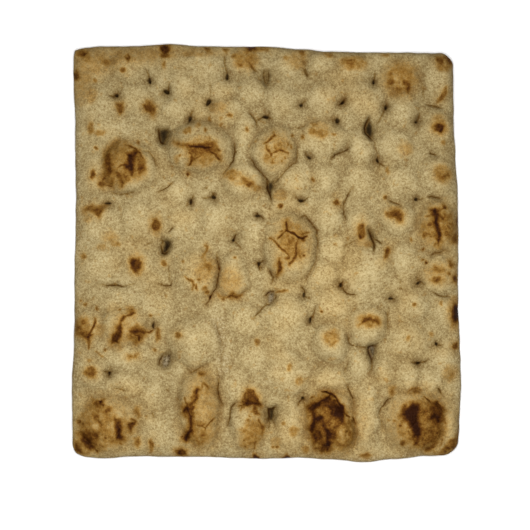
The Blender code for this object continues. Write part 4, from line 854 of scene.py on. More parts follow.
SPOTS = each(
    Scorch,
    # The western blister.
    (RUSSET, -55.3, 29.6, 1.2, 1.2), (RUSSET, -66, 27.5, 1.5, 1.2), (BROWN, -65, 29.6, 0.7, 0.7),
    (BROWN, -69.5, 31, 0.9, 1.9), (RUSSET, -51.3, 44.2, 0.4, 0.9), (RUSSET, -68.3, 41.8, 0.5, 0.5),
    # The north-western blister.
    (OCHRE, -26.3, 44.8, 5, 2), (AMBER, -26, 39, 6, 4), (OCHRE, -36.1, 37.1, 1, 1.7),
    (RUSSET, -34.7, 38.7, 0.5, 0.5), (BROWN, -31.7, 31.6, 0.6, 0.6), (BROWN, -18.8, 40.8, 0.5, 0.5),
    (RUSSET, -24.7, 48.7, 0.4, 0.8), (AMBER, -27.2, 51, 1.1, 1.2), (AMBER, -32.2, 48.5, 0.9, 1.2),
    (AMBER, -30.6, 48.9, 0.5, 1.2), (RUSSET, -14.5, 55, 1, 0.6), (AMBER, -18.4, 51.3, 0.6, 0.6),
    (AMBER, -22.9, 53.7, 0.5, 0.9), (AMBER, -13.6, 31, 3.4, 2), (OCHRE, -11.1, 28.5, 3, 1.8),
    # The northern blister.
    (OCHRE, 4.2, 41.5, 5.5, 6.5), (RUSSET, 2.6, 35.8, 1, 0.5), (AMBER, 5.9, 42.1, 2.4, 1.8),
    (AMBER, 0.5, 37.6, 1.2, 2), (AMBER, 3.2, 37.6, 0.9, 1.2), (BROWN, 7.2, 37.4, 0.4, 0.4),
    (RUSSET, 6, 36.6, 0.4, 0.4), (RUSSET, 9.8, 42.1, 0.3, 0.7), (RUSSET, 10.8, 46.8, 0.5, 0.5),
    (RUSSET, 14.6, 46.2, 0.6, 0.7), (AMBER, -4.2, 44.5, 0.5, 0.5), (RUSSET, -7.7, 49, 0.5, 0.7),
    (AMBER, 18.4, 48.6, 1.5, 1.3), (OCHRE, 21, 49, 4, 3.5), (AMBER, 22.6, 47.6, 2, 1.5),
    (AMBER, 19.1, 51.4, 1.4, 0.8), (RUSSET, 26.8, 47.3, 0.9, 0.5), (RUSSET, 18.9, 29.3, 0.7, 0.9),
    (BROWN, -7, 27.2, 1, 0.7, -40), (AMBER, -3.8, 25.5, 1.6, 1.2),
    # The middle.
    (OCHRE, 10.5, 4, 6.5, 8.5, -10), (RUSSET, 10.8, 4.9, 1.2, 1), (BROWN, 10.8, 1.6, 0.6, 0.4),
    (RUSSET, 14.8, 4.7, 0.8, 0.6), (RUSSET, 6.2, 8.5, 0.4, 0.7, 55), (RUSSET, 8, -2.7, 0.9, 0.5),
    (RUSSET, 13.4, -1.7, 0.8, 0.5), (BROWN, 15.1, -1.3, 0.4, 0.4), (OCHRE, -14.5, -11.5, 4.2, 5.5),
    (STRAW, -26, -7, 6, 6), (OCHRE, -27.5, -8, 0.8, 1), (RUSSET, -27, -10.8, 0.9, 0.6),
    (RUSSET, -24.5, -14.5, 1.1, 0.9), (RUSSET, -23.7, -15.9, 0.8, 0.9), (BROWN, -19, -6.3, 0.5, 0.8),
    (DARK, -22.3, -17.9, 0.5, 0.9, 25), (RUSSET, -17.3, -18.6, 0.6, 0.5), (RUSSET, -12.8, -2, 0.4, 0.4),
    (RUSSET, -33.5, -3.8, 0.4, 0.5), (BROWN, 5.5, 18.7, 0.8, 0.7), (OCHRE, 6, 23, 2.8, 2.2),
    (BROWN, 28, 20.2, 0.9, 1.3), (BROWN, 38, 8.3, 1.5, 2.9), (DARK, 37.8, 6.5, 0.8, 1.2),
    (OCHRE, 41, 3.5, 1.8, 1.4), (AMBER, 26, -34, 3, 3), (AMBER, 26, -35.5, 1.8, 1.8),
    (AMBER, 41.2, -27.5, 4.6, 2.4), (OCHRE, 8, -15.5, 1.4, 0.6),
    # The east.
    (OCHRE, 70, 10, 8, 8.5), (RUSSET, 65.2, 11.2, 0.9, 0.9), (RUSSET, 63.6, 7, 0.8, 1.2),
    (AMBER, 72, 8.5, 2, 3), (BROWN, 73.5, 11.4, 0.8, 0.6), (BROWN, 76.6, 12.8, 0.4, 1.2),
    (RUSSET, 67.5, 3.4, 0.5, 0.6), (RUSSET, 62.7, 1.2, 0.6, 0.5), (RUSSET, 58.2, 5, 0.5, 0.5),
    (BROWN, 63.9, -4.3, 0.5, 0.4), (RUSSET, 62.9, -3.2, 0.6, 0.3), (OCHRE, 69, -8.5, 5, 4.6),
    (RUSSET, 73, -8.5, 0.8, 0.8), (OCHRE, 74.8, -7.5, 2, 5), (RUSSET, 47.8, 22.2, 0.7, 0.7),
    (BROWN, 48.2, -0.5, 0.9, 2.2, 25), (CHAR, 75.9, -24.5, 1.7, 3.6), (BROWN, 75.6, -37.3, 1.2, 1.5),
    (OCHRE, 73.5, -48.5, 3, 3.2), (OCHRE, 74, -48.5, 1.5, 1.8), (RUSSET, 59.2, -20.9, 0.6, 0.6),
    (RUSSET, 70, -20.5, 0.8, 0.8), (AMBER, 57, -34.3, 0.9, 1.1), (AMBER, 66, -33, 0.8, 0.8),
    (RUSSET, 71.9, 30.3, 1.8, 1.6), (AMBER, 70.5, 31.5, 3.2, 3.4), (AMBER, 48.7, 32.6, 0.6, 1.4),
    # The south-west.
    (OCHRE, -66.6, -31.2, 2.4, 2.6), (STRAW, -61.5, -22.5, 2.2, 2.5), (BROWN, -46.3, -25.5, 0.5, 0.35),
    (RUSSET, -58.6, -23.1, 0.5, 0.4), (RUSSET, -35.3, -33, 1.2, 1.1), (RUSSET, -70.9, -43.1, 0.7, 0.5),
    (RUSSET, -75, -40, 0.5, 0.4), (RUSSET, -64.7, -38.9, 0.4, 0.5), (RUSSET, -44.8, -38.9, 0.5, 0.5),
    (RUSSET, -72.8, -20.7, 0.6, 0.5), (RUSSET, -74.6, -19.1, 0.4, 0.4), (RUSSET, -68, -22.5, 0.35, 0.6),
    (RUSSET, -70.2, -48.2, 2.4, 2.3), (OCHRE, -65, -69, 10, 10), (CHAR, -66, -59.8, 0.55, 0.5),
    (DARK, -65.2, -61.1, 0.4, 0.4), (BROWN, -64.1, -74.2, 0.5, 0.4), (BROWN, -74.7, -67.7, 0.5, 0.9),
    (RUSSET, -71.1, -65.7, 0.6, 0.6), (RUSSET, -73.4, -68.8, 0.7, 0.5), (BROWN, -68, -79.1, 0.6, 0.4),
    (RUSSET, -51.3, -75.1, 0.6, 0.5),
    # The south.
    (OCHRE, -25.6, -63, 6.5, 15), (DARK, -33.7, -73.8, 0.45, 0.4), (RUSSET, -25.2, -72.6, 1.3, 0.9),
    (RUSSET, -25, -75, 0.8, 0.4), (DARK, -7.5, -59.2, 0.9, 0.7), (DARK, -3.4, -59, 0.5, 0.7),
    (RUSSET, -6.5, -65.5, 0.5, 0.35), (RUSSET, -8.5, -71.2, 1, 0.6), (BROWN, -9, -74.7, 0.6, 0.4),
    (RUSSET, -7, -76, 0.9, 0.7), (RUSSET, -7.2, -67, 0.7, 0.6), (RUSSET, -8.4, -77.6, 0.4, 0.4),
    (AMBER, 6.7, -68.4, 0.7, 0.7), (RUSSET, 2.9, -77.8, 0.6, 0.5), (RUSSET, 4.4, -77.8, 0.6, 0.6),
    (OCHRE, 4, -76, 2, 2.4), (AMBER, 11, -71.5, 2, 2), (AMBER, 15.5, -78.5, 1.4, 1.4),
    (RUSSET, -46, -77.5, 1, 2.4), (DARK, -4, -82, 1.4, 0.7), (DARK, 8, -82.3, 1.4, 0.7),
    (RUSSET, 40, -81.3, 2.2, 1), (AMBER, -3.5, -36, 0.8, 1.2), (AMBER, 9.2, -46, 0.9, 1.4),
    (AMBER, 13, -51.5, 1.4, 1.7), (BROWN, 22.2, -23.7, 0.5, 0.5),
    # The darkest blister.
    (OCHRE, 26.5, -69, 11, 12.5, -8), (BROWN, 31.5, -71.8, 0.4, 0.6), (RUSSET, 31.5, -73.3, 0.4, 0.5),
    # The south-eastern blister.
    (OCHRE, 61.5, -67.5, 11, 11.5), (DARK, 68.2, -72.4, 0.5, 0.4), (BROWN, 63.2, -72.6, 0.5, 0.7),
    (DARK, 72.7, -78.4, 0.6, 0.5), (RUSSET, 51.3, -67.4, 0.45, 0.45), (AMBER, 48.8, -67.5, 0.4, 0.5),
    (BROWN, 53.4, -69.2, 0.6, 0.5), (RUSSET, 54.3, -76, 1, 1.2), (RUSSET, 54.8, -61, 0.4, 0.4),
    (RUSSET, 57, -75, 0.6, 0.4),
    # The far edge and odd spots.
    (AMBER, -72.5, 78, 2.4, 1.8), (BROWN, -76.4, 71.5, 1.2, 2), (OCHRE, -74.8, 71.2, 1.6, 2.2),
    (DARK, -40.7, 81.9, 2.2, 1.9), (RUSSET, -40.6, 79.2, 2.2, 1), (AMBER, -41.2, 75.2, 0.8, 1.4),
    (BROWN, -55.6, 78.4, 0.9, 1.6, -15), (RUSSET, -57.4, 73.2, 1.2, 0.9), (AMBER, -69, 69, 0.8, 0.9),
    (OCHRE, -70.5, 63, 2.2, 3), (AMBER, -47.8, 60.6, 0.8, 1), (AMBER, -70.7, 50, 1.1, 2.4),
    (AMBER, -67, 48, 2.2, 1), (OCHRE, -28, 80.6, 8, 1.8), (BROWN, -24, 81.4, 1.2, 0.9),
    (BROWN, -16.5, 81.4, 1.2, 0.9), (DARK, -6, 82.3, 2.2, 0.8), (RUSSET, -2, 82.2, 3, 0.6),
    (AMBER, -13, 78.8, 1.2, 1), (AMBER, -8, 77.5, 4.5, 3.8), (RUSSET, -10, 75.2, 1.2, 0.8),
    (AMBER, 8, 78.2, 1, 0.8), (RUSSET, 14.4, 80.3, 1.2, 1), (OCHRE, 12, 77.5, 4, 3.5),
    (RUSSET, 25, 79.4, 1.6, 0.9), (OCHRE, -19.5, 58, 3.2, 2.4), (BROWN, 50.1, 68.6, 1.2, 1.4),
    (AMBER, 54, 69.5, 6, 6.5), (RUSSET, 34, 76.3, 2, 1.4), (AMBER, 35, 76, 5, 2.8),
    (RUSSET, 48, 79.6, 1.2, 0.6), (BROWN, 69.8, 76.8, 1.8, 1.2, 40), (BROWN, 73.2, 77.2, 1, 2, -30),
    (AMBER, 71.5, 76, 3.2, 3.4), (DARK, 69.4, 49.9, 2, 1.9), (AMBER, 69.2, 51, 2.8, 2.4),
    (OCHRE, 69, 53.5, 2.4, 2), (AMBER, 71, 44.3, 0.7, 0.9), (OCHRE, 56, 41.5, 2.8, 2.6),
    (OCHRE, -72, 16.8, 2, 2), (OCHRE, -71.5, 13.5, 1.8, 1.4), (BROWN, -44.3, 11.1, 1.7, 2.5),
    (DARK, -52.3, -4.8, 2.2, 3), (RUSSET, -40.9, -4.3, 1.1, 1.1), (OCHRE, -62.5, 6, 3.2, 2.2),
    (AMBER, -60.7, 3.5, 1.8, 1.2), (OCHRE, -66, 2, 1.8, 1.4), (AMBER, -73.5, -1.5, 1.2, 1.2),
)

SCORCHES = (*STAINS, *STREAKS, *SPOTS)

# Painted light and shade: paler in the lower middle, darker towards the far end and the sides, most on the
# far right.
LIGHT_ZONES = each(
    LightZone,
    (0.07, 10, -25, 45, 45), (-0.1, -74, 70, 34, 40), (-0.1, 0, 84, 70, 24), (-0.12, 84, 60, 30, 60),
    (-0.07, 84, -30, 24, 60), (-0.05, -84, -20, 28, 60),
)


@dataclass(frozen=True)
class Lumps:
    """Smooth random lumps of one size, between about -1 and 1 and the same on every run."""

    size: float
    seed: int
    tile: int = 256
    gain: float = 1.6

    def at(self, x: Array, y: Array) -> Array:
        """Reads the lumps.

        Args:
            x: Places across the bread.
            y: Places along the bread.

        Returns:
            The value at each place.
        """
        turns = np.random.default_rng(self.seed).uniform(0.0, 2.0 * math.pi, (self.tile, self.tile))
        step_x = np.floor(x / self.size).astype(int)
        step_y = np.floor(y / self.size).astype(int)
        part_x = x / self.size - step_x
        part_y = y / self.size - step_y
        total = np.zeros(len(x))
        for corner_x in (0, 1):
            for corner_y in (0, 1):
                turn = turns[(step_x + corner_x) % self.tile, (step_y + corner_y) % self.tile]
                off_x = part_x - corner_x
                off_y = part_y - corner_y
                weight = ease(1.0 - np.abs(off_x)) * ease(1.0 - np.abs(off_y))
                total += weight * (np.cos(turn) * off_x + np.sin(turn) * off_y)
        return self.gain * total


@dataclass(frozen=True)
class Outline:
    """The bread's shape in plan, a rounded rectangle with uneven sides, and its rolled rim.

    The side tables say how far each side stands outside (+) or inside (-) the plain rectangle,
    at even steps along it: the sides from -Y to +Y, the ends from -X to +X. A corner's roundness
    is 1 for a full arc and 0 for a square corner.
    """

    width: float = 155.0
    length: float = 166.0
    corner_radius: float = 6.0
    near_roundness: tuple[float, float] = (0.82, 1.0)
    far_roundness: tuple[float, float] = (0.55, 1.0)
    rim_radius: float = 2.8
    underside_inset: float = 1.7
    belly_level: float = 0.42
    blend: float = 14.0
    left_side: tuple[float, ...] = (
        0.1, 0.2, 0.5, -0.35, -0.6, -0.5, -0.85, -1.05, -0.7, -0.65, 0.0, 0.3,
    )
    right_side: tuple[float, ...] = (
        -0.7, 0.2, 0.85, 0.45, -0.2, -0.25, -0.1, -0.25, -1.1, -1.85, -1.95, -2.2,
    )
    near_end: tuple[float, ...] = (
        -1.3, -0.45, -1.3, -1.1, -1.1, -0.6, -0.3, -0.7, -0.1, 1.1, -0.15, -1.4, -1.9,
    )
    far_end: tuple[float, ...] = (
        -0.5, 0.25, 0.4, 1.2, 0.35, 0.1, 0.2, -0.8, -1.9, -2.15, -2.2, -2.45, -2.5,
    )
    waver: Lumps = Lumps(5.0, 71)
    waver_size: float = 0.16
    waver_rows: tuple[float, float] = (40.0, 90.0)

    def inset(self, level: Array) -> Array:
        """Works out how far inside the outline the rim stands.

        Args:
            level: Shares of the way up the rim, from 0 to 1.

        Returns:
            The inset at each share.
        """
        upper = np.clip((level - 0.5) * 2.0, 0.0, 1.0)
        lower = np.clip((0.5 - level) * 2.0, 0.0, 1.0)
        top = self.rim_radius * (1.0 - np.cos(upper * math.pi / 2.0))
        bottom = self.underside_inset * (1.0 - np.cos(lower * math.pi / 2.0))
        return top + bottom

    def rise(self, level: Array) -> Array:
        """Works out the height share of the rim.

        Args:
            level: Shares of the way up the rim, from 0 to 1.

        Returns:
            The height share at each.
        """
        angle = (np.clip(level, 0.0, 1.0) - 0.5) * math.pi
        reach = np.where(angle > 0.0, 1.0 - self.belly_level, self.belly_level)
        return self.belly_level + reach * np.sin(angle)

    def side_offset(self, along: Array, half: float, offsets: tuple[float, ...]) -> Array:
        """Reads one side's table smoothly.

        Args:
            along: Places along the side.
            half: Half the side's length.
            offsets: The side's table.

        Returns:
            The offset at each place.
        """
        place = np.clip((along / half + 1.0) / 2.0 * (len(offsets) - 1), 0.0, len(offsets) - 1.001)
        step = place.astype(int)
        values = np.asarray(offsets)
        return values[step] + (values[step + 1] - values[step]) * ease(place - step)

    def place(self, u: Array, v: Array, inset: Array) -> tuple[Array, Array]:
        """Lays a square sheet's points out in the bread's outline.

        Args:
            u: Places across the sheet, from -1 to 1.
            v: Places along the sheet, from -1 to 1.
            inset: How far inside the outline the sheet's own edge stands.

        Returns:
            The places across and along the bread.
        """
        middle_x = self.width / 2.0 - self.corner_radius
        middle_y = self.length / 2.0 - self.corner_radius
        reach = self.corner_radius - self.rim_radius
        beyond_x = np.maximum(np.abs(u) * (middle_x + reach) - middle_x, 0.0) / reach
        beyond_y = np.maximum(np.abs(v) * (middle_y + reach) - middle_y, 0.0) / reach
        roundness = np.asarray((self.near_roundness, self.far_roundness))
        roundness = roundness[(v > 0.0).astype(int), (u > 0.0).astype(int)]
        round_x = beyond_x * np.sqrt(1.0 - roundness * beyond_y ** 2 / 2.0)
        round_y = beyond_y * np.sqrt(1.0 - roundness * beyond_x ** 2 / 2.0)
        inner_x = np.minimum(np.abs(u) * (middle_x + reach), middle_x)
        inner_y = np.minimum(np.abs(v) * (middle_y + reach), middle_y)
        x = np.sign(u) * (inner_x + round_x * (self.corner_radius - inset))
        y = np.sign(v) * (inner_y + round_y * (self.corner_radius - inset))
        return self.uneven(x, y)

    def uneven(self, x: Array, y: Array) -> tuple[Array, Array]:
        """Moves places near each side by that side's table and a small waver.

        Args:
            x: Places across the plain rectangle.
            y: Places along the plain rectangle.

        Returns:
            The moved places across and along, with the bread's box centred.
        """
        half_x, half_y = self.width / 2.0, self.length / 2.0
        near_left = ease((-x - half_x) / self.blend + 1.0)
        near_right = ease((x - half_x) / self.blend + 1.0)
        near_front = ease((-y - half_y) / self.blend + 1.0)
        near_back = ease((y - half_y) / self.blend + 1.0)
        waver_x = self.waver_size * self.waver.at(y, np.sign(x) * self.waver_rows[0])
        waver_y = self.waver_size * self.waver.at(x, np.sign(y) * self.waver_rows[1])
        move_x = near_right * (self.side_offset(y, half_y, self.right_side) + waver_x)
        move_x -= near_left * (self.side_offset(y, half_y, self.left_side) + waver_x)
        move_y = near_back * (self.side_offset(x, half_x, self.far_end) + waver_y)
        move_y -= near_front * (self.side_offset(x, half_x, self.near_end) + waver_y)
        return x + move_x + self.centring_x(), y + move_y + self.centring_y()

    def centring_x(self) -> float:
        """Shift that centres the outline's widest reach across."""
        return (max(self.left_side) - max(self.right_side)) / 2.0

    def centring_y(self) -> float:
        """Shift that centres the outline's longest reach along."""
        return (max(self.near_end) - max(self.far_end)) / 2.0

    def edge_gap(self, x: Array, y: Array) -> Array:
        """Rough distance from the outline, for the thinning of the dough towards its edge."""
        return np.minimum(self.width / 2.0 - np.abs(x), self.length / 2.0 - np.abs(y))


@dataclass(frozen=True)
class Relief:
    """The top's ups and downs: waves, blisters, fine lumps, creases, steam holes and pits."""

    dough_thickness: float = 5.0
    lowest_top: float = 1.0
    valley_sharpness: float = 5.0
    dome_power: float = 2.2
    dome_swell: float = 1.25
    dome_gain: float = 1.2
    dome_margin: float = 4.0
    dome_floor: float = -2.0
    waves: tuple[tuple[float, float, float], ...] = (
        (0.22, 61.0, 83.0),
        (0.16, 37.0, 49.0),
        (0.12, -29.0, 31.0),
    )
    sway: tuple[Lumps, Lumps] = (Lumps(9.0, 11), Lumps(9.0, 12))
    sway_size: float = 0.9
    drift: tuple[Lumps, Lumps] = (Lumps(4.6, 15), Lumps(4.6, 16))
    drift_size: float = 0.5
    shiver: tuple[Lumps, Lumps] = (Lumps(1.9, 13), Lumps(1.9, 14))
    shiver_size: float = 0.45
    crease_shiver: float = 0.45
    opening_shiver: float = 0.5
    opening_margin: float = 5.0
    far_radius: float = 9.0
    lumps: tuple[tuple[float, Lumps], ...] = (
        (0.60, Lumps(8.5, 21)),
        (0.27, Lumps(4.2, 22)),
        (0.18, Lumps(2.3, 23)),
        (0.12, Lumps(1.3, 24)),
    )
    hollow_reach: float = 5.2
    hollow_dip: float = 1.3
    hole_reach: float = 2.6
    dip_reach: tuple[float, float] = (2.2, 4.2)
    dip_margin: float = 6.0
    hole_dip: float = 1.2
    hole_depth: float = 2.1
    hole_wall: tuple[float, float] = (0.4, 0.9)
    pit_wall: tuple[float, float] = (0.0, 1.5)
    # Where the painted shade of an opening starts to fade.
    shade_edge: float = 0.32
    moist_edge: tuple[float, float] = (0.3, 0.8)
    crease_depth: float = 1.2
    crease_share: float = 0.68
    crease_taper: float = 0.7
    crease_margin: float = 3.0
    valley_reach: float = 1.2
    valley_dip: float = 0.55
    edge_drop: float = 0.7
    edge_drop_reach: float = 7.0
    pillow_reach: float = 2.6
    pillow_steps: int = 8
    underside_lumps: float = 0.22
    dent_depth: float = 0.35
    dent_reach: float = 3.2

    def swayed(self, x: Array, y: Array) -> tuple[Array, Array]:
        """Places moved a little at random, so that no dome is a true oval."""
        return x + self.sway_size * self.sway[0].at(x, y), y + self.sway_size * self.sway[1].at(x, y)

    def shivered(self, x: Array, y: Array, share: float) -> tuple[Array, Array]:
        """Moves places slightly at two small scales, so that holes and scorches look ragged.

        Args:
            x: Places across the bread.
            y: Places along the bread.
            share: How much of the movement they get.

        Returns:
            The moved places across and along.
        """
        move_x = self.shiver_size * self.shiver[0].at(x, y) + self.drift_size * self.drift[0].at(x, y)
        move_y = self.shiver_size * self.shiver[1].at(x, y) + self.drift_size * self.drift[1].at(x, y)
        return x + share * move_x, y + share * move_y

    def swollen(self, x: Array, y: Array) -> Array:
        """Works out the dough's height with its waves and blisters, before anything is pressed in.

        Args:
            x: Places across the bread.
            y: Places along the bread.

        Returns:
            The height at each place.
        """
        height = np.full(len(x), self.dough_thickness)
        for size, length_x, length_y in self.waves:
            height += size * np.sin(2.0 * math.pi * (x / length_x + y / length_y))
        sway_x, sway_y = self.swayed(x, y)
        total = np.ones(len(x))
        for blister in BLISTERS:
            near = blister.near(sway_x, sway_y, self.dome_margin)
            radius, _ = blister.measure(sway_x[near], sway_y[near])
            dome = self.dome_swell * blister.rise ** self.dome_gain * (1.0 - radius ** self.dome_power)
            total[near] += np.exp(self.valley_sharpness * np.maximum(dome, self.dome_floor))
        return height + np.log(total) / self.valley_sharpness

    def crease_lines(self, x: Array, y: Array) -> tuple[Array, Array]:
        """Works out where creases run.

        Args:
            x: Places across the bread.
            y: Places along the bread.

        Returns:
            The narrow crease, and the soft valley round it, each from 0 to 1.
        """
        shiver_x, shiver_y = self.shivered(x, y, self.crease_shiver)
        narrow = np.zeros(len(x))
        valley = np.zeros(len(x))
        for crease in CREASES:
            near = crease.near(shiver_x, shiver_y, self.crease_margin)
            gap, progress = crease.measure(shiver_x[near], shiver_y[near])
            taper = 1.0 - (2.0 * progress - 1.0) ** 4 * self.crease_taper
            line = crease.strength * taper * np.exp(-((gap / (self.crease_share * crease.half_width)) ** 2))
            narrow[near] = np.maximum(narrow[near], line)
            soft = crease.strength * np.exp(-((gap / self.valley_reach) ** 2))
            valley[near] = np.maximum(valley[near], soft)
        return narrow, valley

    def soft_shape(self, x: Array, y: Array, valley: Array) -> Array:
        """Works out the top without its fine lumps, creases and openings.

        Args:
            x: Places across the bread.
            y: Places along the bread.
            valley: The soft valleys from crease_lines().

        Returns:
            The height at each place.
        """
        height = self.swollen(x, y) - self.valley_dip * valley
        height += self.lumps[0][0] * self.lumps[0][1].at(x, y)
        for hole in STEAM_HOLES:
            height -= self.hole_dip * hole.dip(x, y, self.hole_reach)
        for pit in DOCKING_PITS:
            height -= self.hollow_dip * pit.dip(x, y, self.hollow_reach)
        return height

    def crown(self, x: Array, y: Array) -> Array:
        """Works out how close each place lies to the top of its blister: 1 there, 0 at its foot.

        Args:
            x: Places across the bread.
            y: Places along the bread.

        Returns:
            The closeness at each place, from 0 to 1.
        """
        sway_x, sway_y = self.swayed(x, y)
        crown = np.zeros(len(x))
        for blister in BLISTERS:
            near = blister.near(sway_x, sway_y, 0.0)
            radius, _ = blister.measure(sway_x[near], sway_y[near])
            crown[near] = np.maximum(crown[near], 1.0 - radius ** 2)
        return crown

    def pillow(self, x: Array, y: Array) -> tuple[Array, Array]:
        """Measures the soft shape round each place.

        Args:
            x: Places across the bread.
            y: Places along the bread.

        Returns:
            How far each place stands above (+) or below (-) what lies round it, and how steep
            the shape is there.
        """
        middle = self.soft_shape(x, y, self.crease_lines(x, y)[1])
        round_it, lean_x, lean_y = np.zeros(len(x)), np.zeros(len(x)), np.zeros(len(x))
        for bearing in np.arange(self.pillow_steps) * 2.0 * math.pi / self.pillow_steps:
            step_x, step_y = math.cos(bearing), math.sin(bearing)
            off_x, off_y = x + self.pillow_reach * step_x, y + self.pillow_reach * step_y
            height = self.soft_shape(off_x, off_y, self.crease_lines(off_x, off_y)[1])
            round_it += height / self.pillow_steps
            lean_x += height * step_x * 2.0 / self.pillow_steps
            lean_y += height * step_y * 2.0 / self.pillow_steps
        return middle - round_it, np.hypot(lean_x, lean_y) / self.pillow_reach

    def openings(self, x: Array, y: Array) -> tuple[Array, Array]:
        """Measures to the nearest docking pit and the nearest steam hole.

        Args:
            x: Places across the bread.
            y: Places along the bread.

        Returns:
            The distance of each place to either, in units of the opening's own half sizes.
        """
        shiver_x, shiver_y = self.shivered(x, y, self.opening_shiver)
        nearest = []
        for group in (DOCKING_PITS, STEAM_HOLES):
            radius = np.full(len(x), self.far_radius)
            for pit in group:
                near = pit.near(shiver_x, shiver_y, self.opening_margin)
                radius[near] = np.minimum(radius[near], pit.opening(shiver_x[near], shiver_y[near]))
            nearest.append(radius)
        return nearest[0], nearest[1]

    def floors(self, x: Array, y: Array) -> tuple[Array, Array, Array]:
        """Works out how the openings look.

        Args:
            x: Places across the bread.
            y: Places along the bread.

        Returns:
            How much painted shade darkens each place, how moist it is, and how far it lies in the dip
            round an opening, each from 0 to 1.
        """
        shiver_x, shiver_y = self.shivered(x, y, self.opening_shiver)
        dark, moist, dip = np.zeros(len(x)), np.zeros(len(x)), np.zeros(len(x))
        for pit in (*DOCKING_PITS, *STEAM_HOLES):
            near = pit.near(shiver_x, shiver_y, self.dip_margin)
            opening = pit.opening(shiver_x[near], shiver_y[near])
            dark[near] = np.maximum(dark[near], pit.shade_strength * fall(opening, self.shade_edge, pit.fade))
            moist[near] = np.maximum(moist[near], pit.moist * fall(opening, *self.moist_edge))
            away = np.hypot(shiver_x[near] - pit.x, shiver_y[near] - pit.y)
            reach = self.dip_reach[isinstance(pit, Hollow)]
            dip[near] = np.maximum(dip[near], np.exp(-((away / reach) ** 2)))
        return dark, moist, dip

    def top(self, x: Array, y: Array, edge_gap: Array) -> Array:
        """Works out the finished top.

        Args:
            x: Places across the bread.
            y: Places along the bread.
            edge_gap: How far each place lies from the outline.

        Returns:
            The height of the top at each place.
        """
        narrow, valley = self.crease_lines(x, y)
        height = self.soft_shape(x, y, valley) - self.crease_depth * narrow
        for size, lumps in self.lumps[1:]:
            height += size * lumps.at(x, y)
        docked, blown = self.openings(x, y)
        height -= self.hole_depth * fall(blown, *self.hole_wall)
        height -= (height - self.lowest_top) * fall(docked, *self.pit_wall)
        height -= self.edge_drop * fall(edge_gap, 0.0, self.edge_drop_reach)
        return np.maximum(height, self.lowest_top)

    def underside(self, x: Array, y: Array) -> Array:
        """Works out the underside: flat, with shallow dents where the dough was docked.

        Args:
            x: Places across the bread.
            y: Places along the bread.

        Returns:
            The height at each place.
        """
        height = self.underside_lumps * np.maximum(self.lumps[1][1].at(x, y), 0.0)
        for pit in DOCKING_PITS:
            height += self.dent_depth * pit.dip(x, y, self.dent_reach)
        return height


@dataclass(frozen=True)
class Browning:
    """How far each place of the top has baked."""

    merging: float = 6.0
    spread: float = 2.9
    outline_share: float = 0.37
    halo_reach: float = 1.9
    halo_share: float = 0.62
    halo_from: float = 0.26
    halo_margin: float = 4.5
    island_edge: tuple[float, float] = (-0.5, 1.0)
    island_margin: float = 2.0
    wrinkle_depth: float = 0.30
    cockle: tuple[Lumps, Lumps] = (Lumps(1.5, 31), Lumps(3.0, 32))
    cockle_size: float = 0.30
    wrinkled: tuple[float, float] = (0.5, 0.4)
    cockled: tuple[float, float] = (0.25, 0.5)

    def patch(self, mark: Scorch | Streak | Stain, x: Array, y: Array) -> Array:
        """Works out the heat that one scorched patch or line brings.

        Args:
            mark: The patch or line.
            x: Places across the bread.
            y: Places along the bread.

        Returns:
            The heat at each place, from 0 to 1.
        """
        gap = mark.gap(x, y)
        core = mark.bake.value * (1.0 - ease(gap / (self.spread * mark.softness) + self.outline_share))
        halo = self.halo_share * mark.glow * max(mark.bake.value - self.halo_from, 0.0)
        return np.maximum(core, halo * np.exp(-((np.maximum(gap, 0.0) / self.halo_reach) ** 2)))

    def heat(self, x: Array, y: Array) -> Array:
        """Works out how far each place has baked, from 0 to 1.

        Args:
            x: Places across the bread.
            y: Places along the bread.

        Returns:
            The heat at each place.
        """
        total = np.zeros(len(x))
        for mark in SCORCHES:
            near = mark.near(x, y, self.halo_margin)
            total[near] += self.patch(mark, x[near], y[near]) ** self.merging
        heat = total ** (1.0 / self.merging)
        for island in PALE_ISLANDS:
            near = island.near(x, y, self.island_margin)
            share = fall(island.gap(x[near], y[near]), *self.island_edge)
            heat[near] += (np.minimum(heat[near], island.bake.value) - heat[near]) * share
        return heat

    def shrivel(self, x: Array, y: Array, heat: Array) -> Array:
        """Works out how far the baked skin sinks and cockles, in millimetres.

        Args:
            x: Places across the bread.
            y: Places along the bread.
            heat: How far each place has baked.

        Returns:
            The depth at each place.
        """
        sunk = self.wrinkle_depth * grow(heat, *self.wrinkled)
        folds = 1.0 - 2.0 * np.abs(self.cockle[0].at(x, y)) - np.abs(self.cockle[1].at(x, y))
        return sunk + self.cockle_size * folds * grow(heat, *self.cockled)


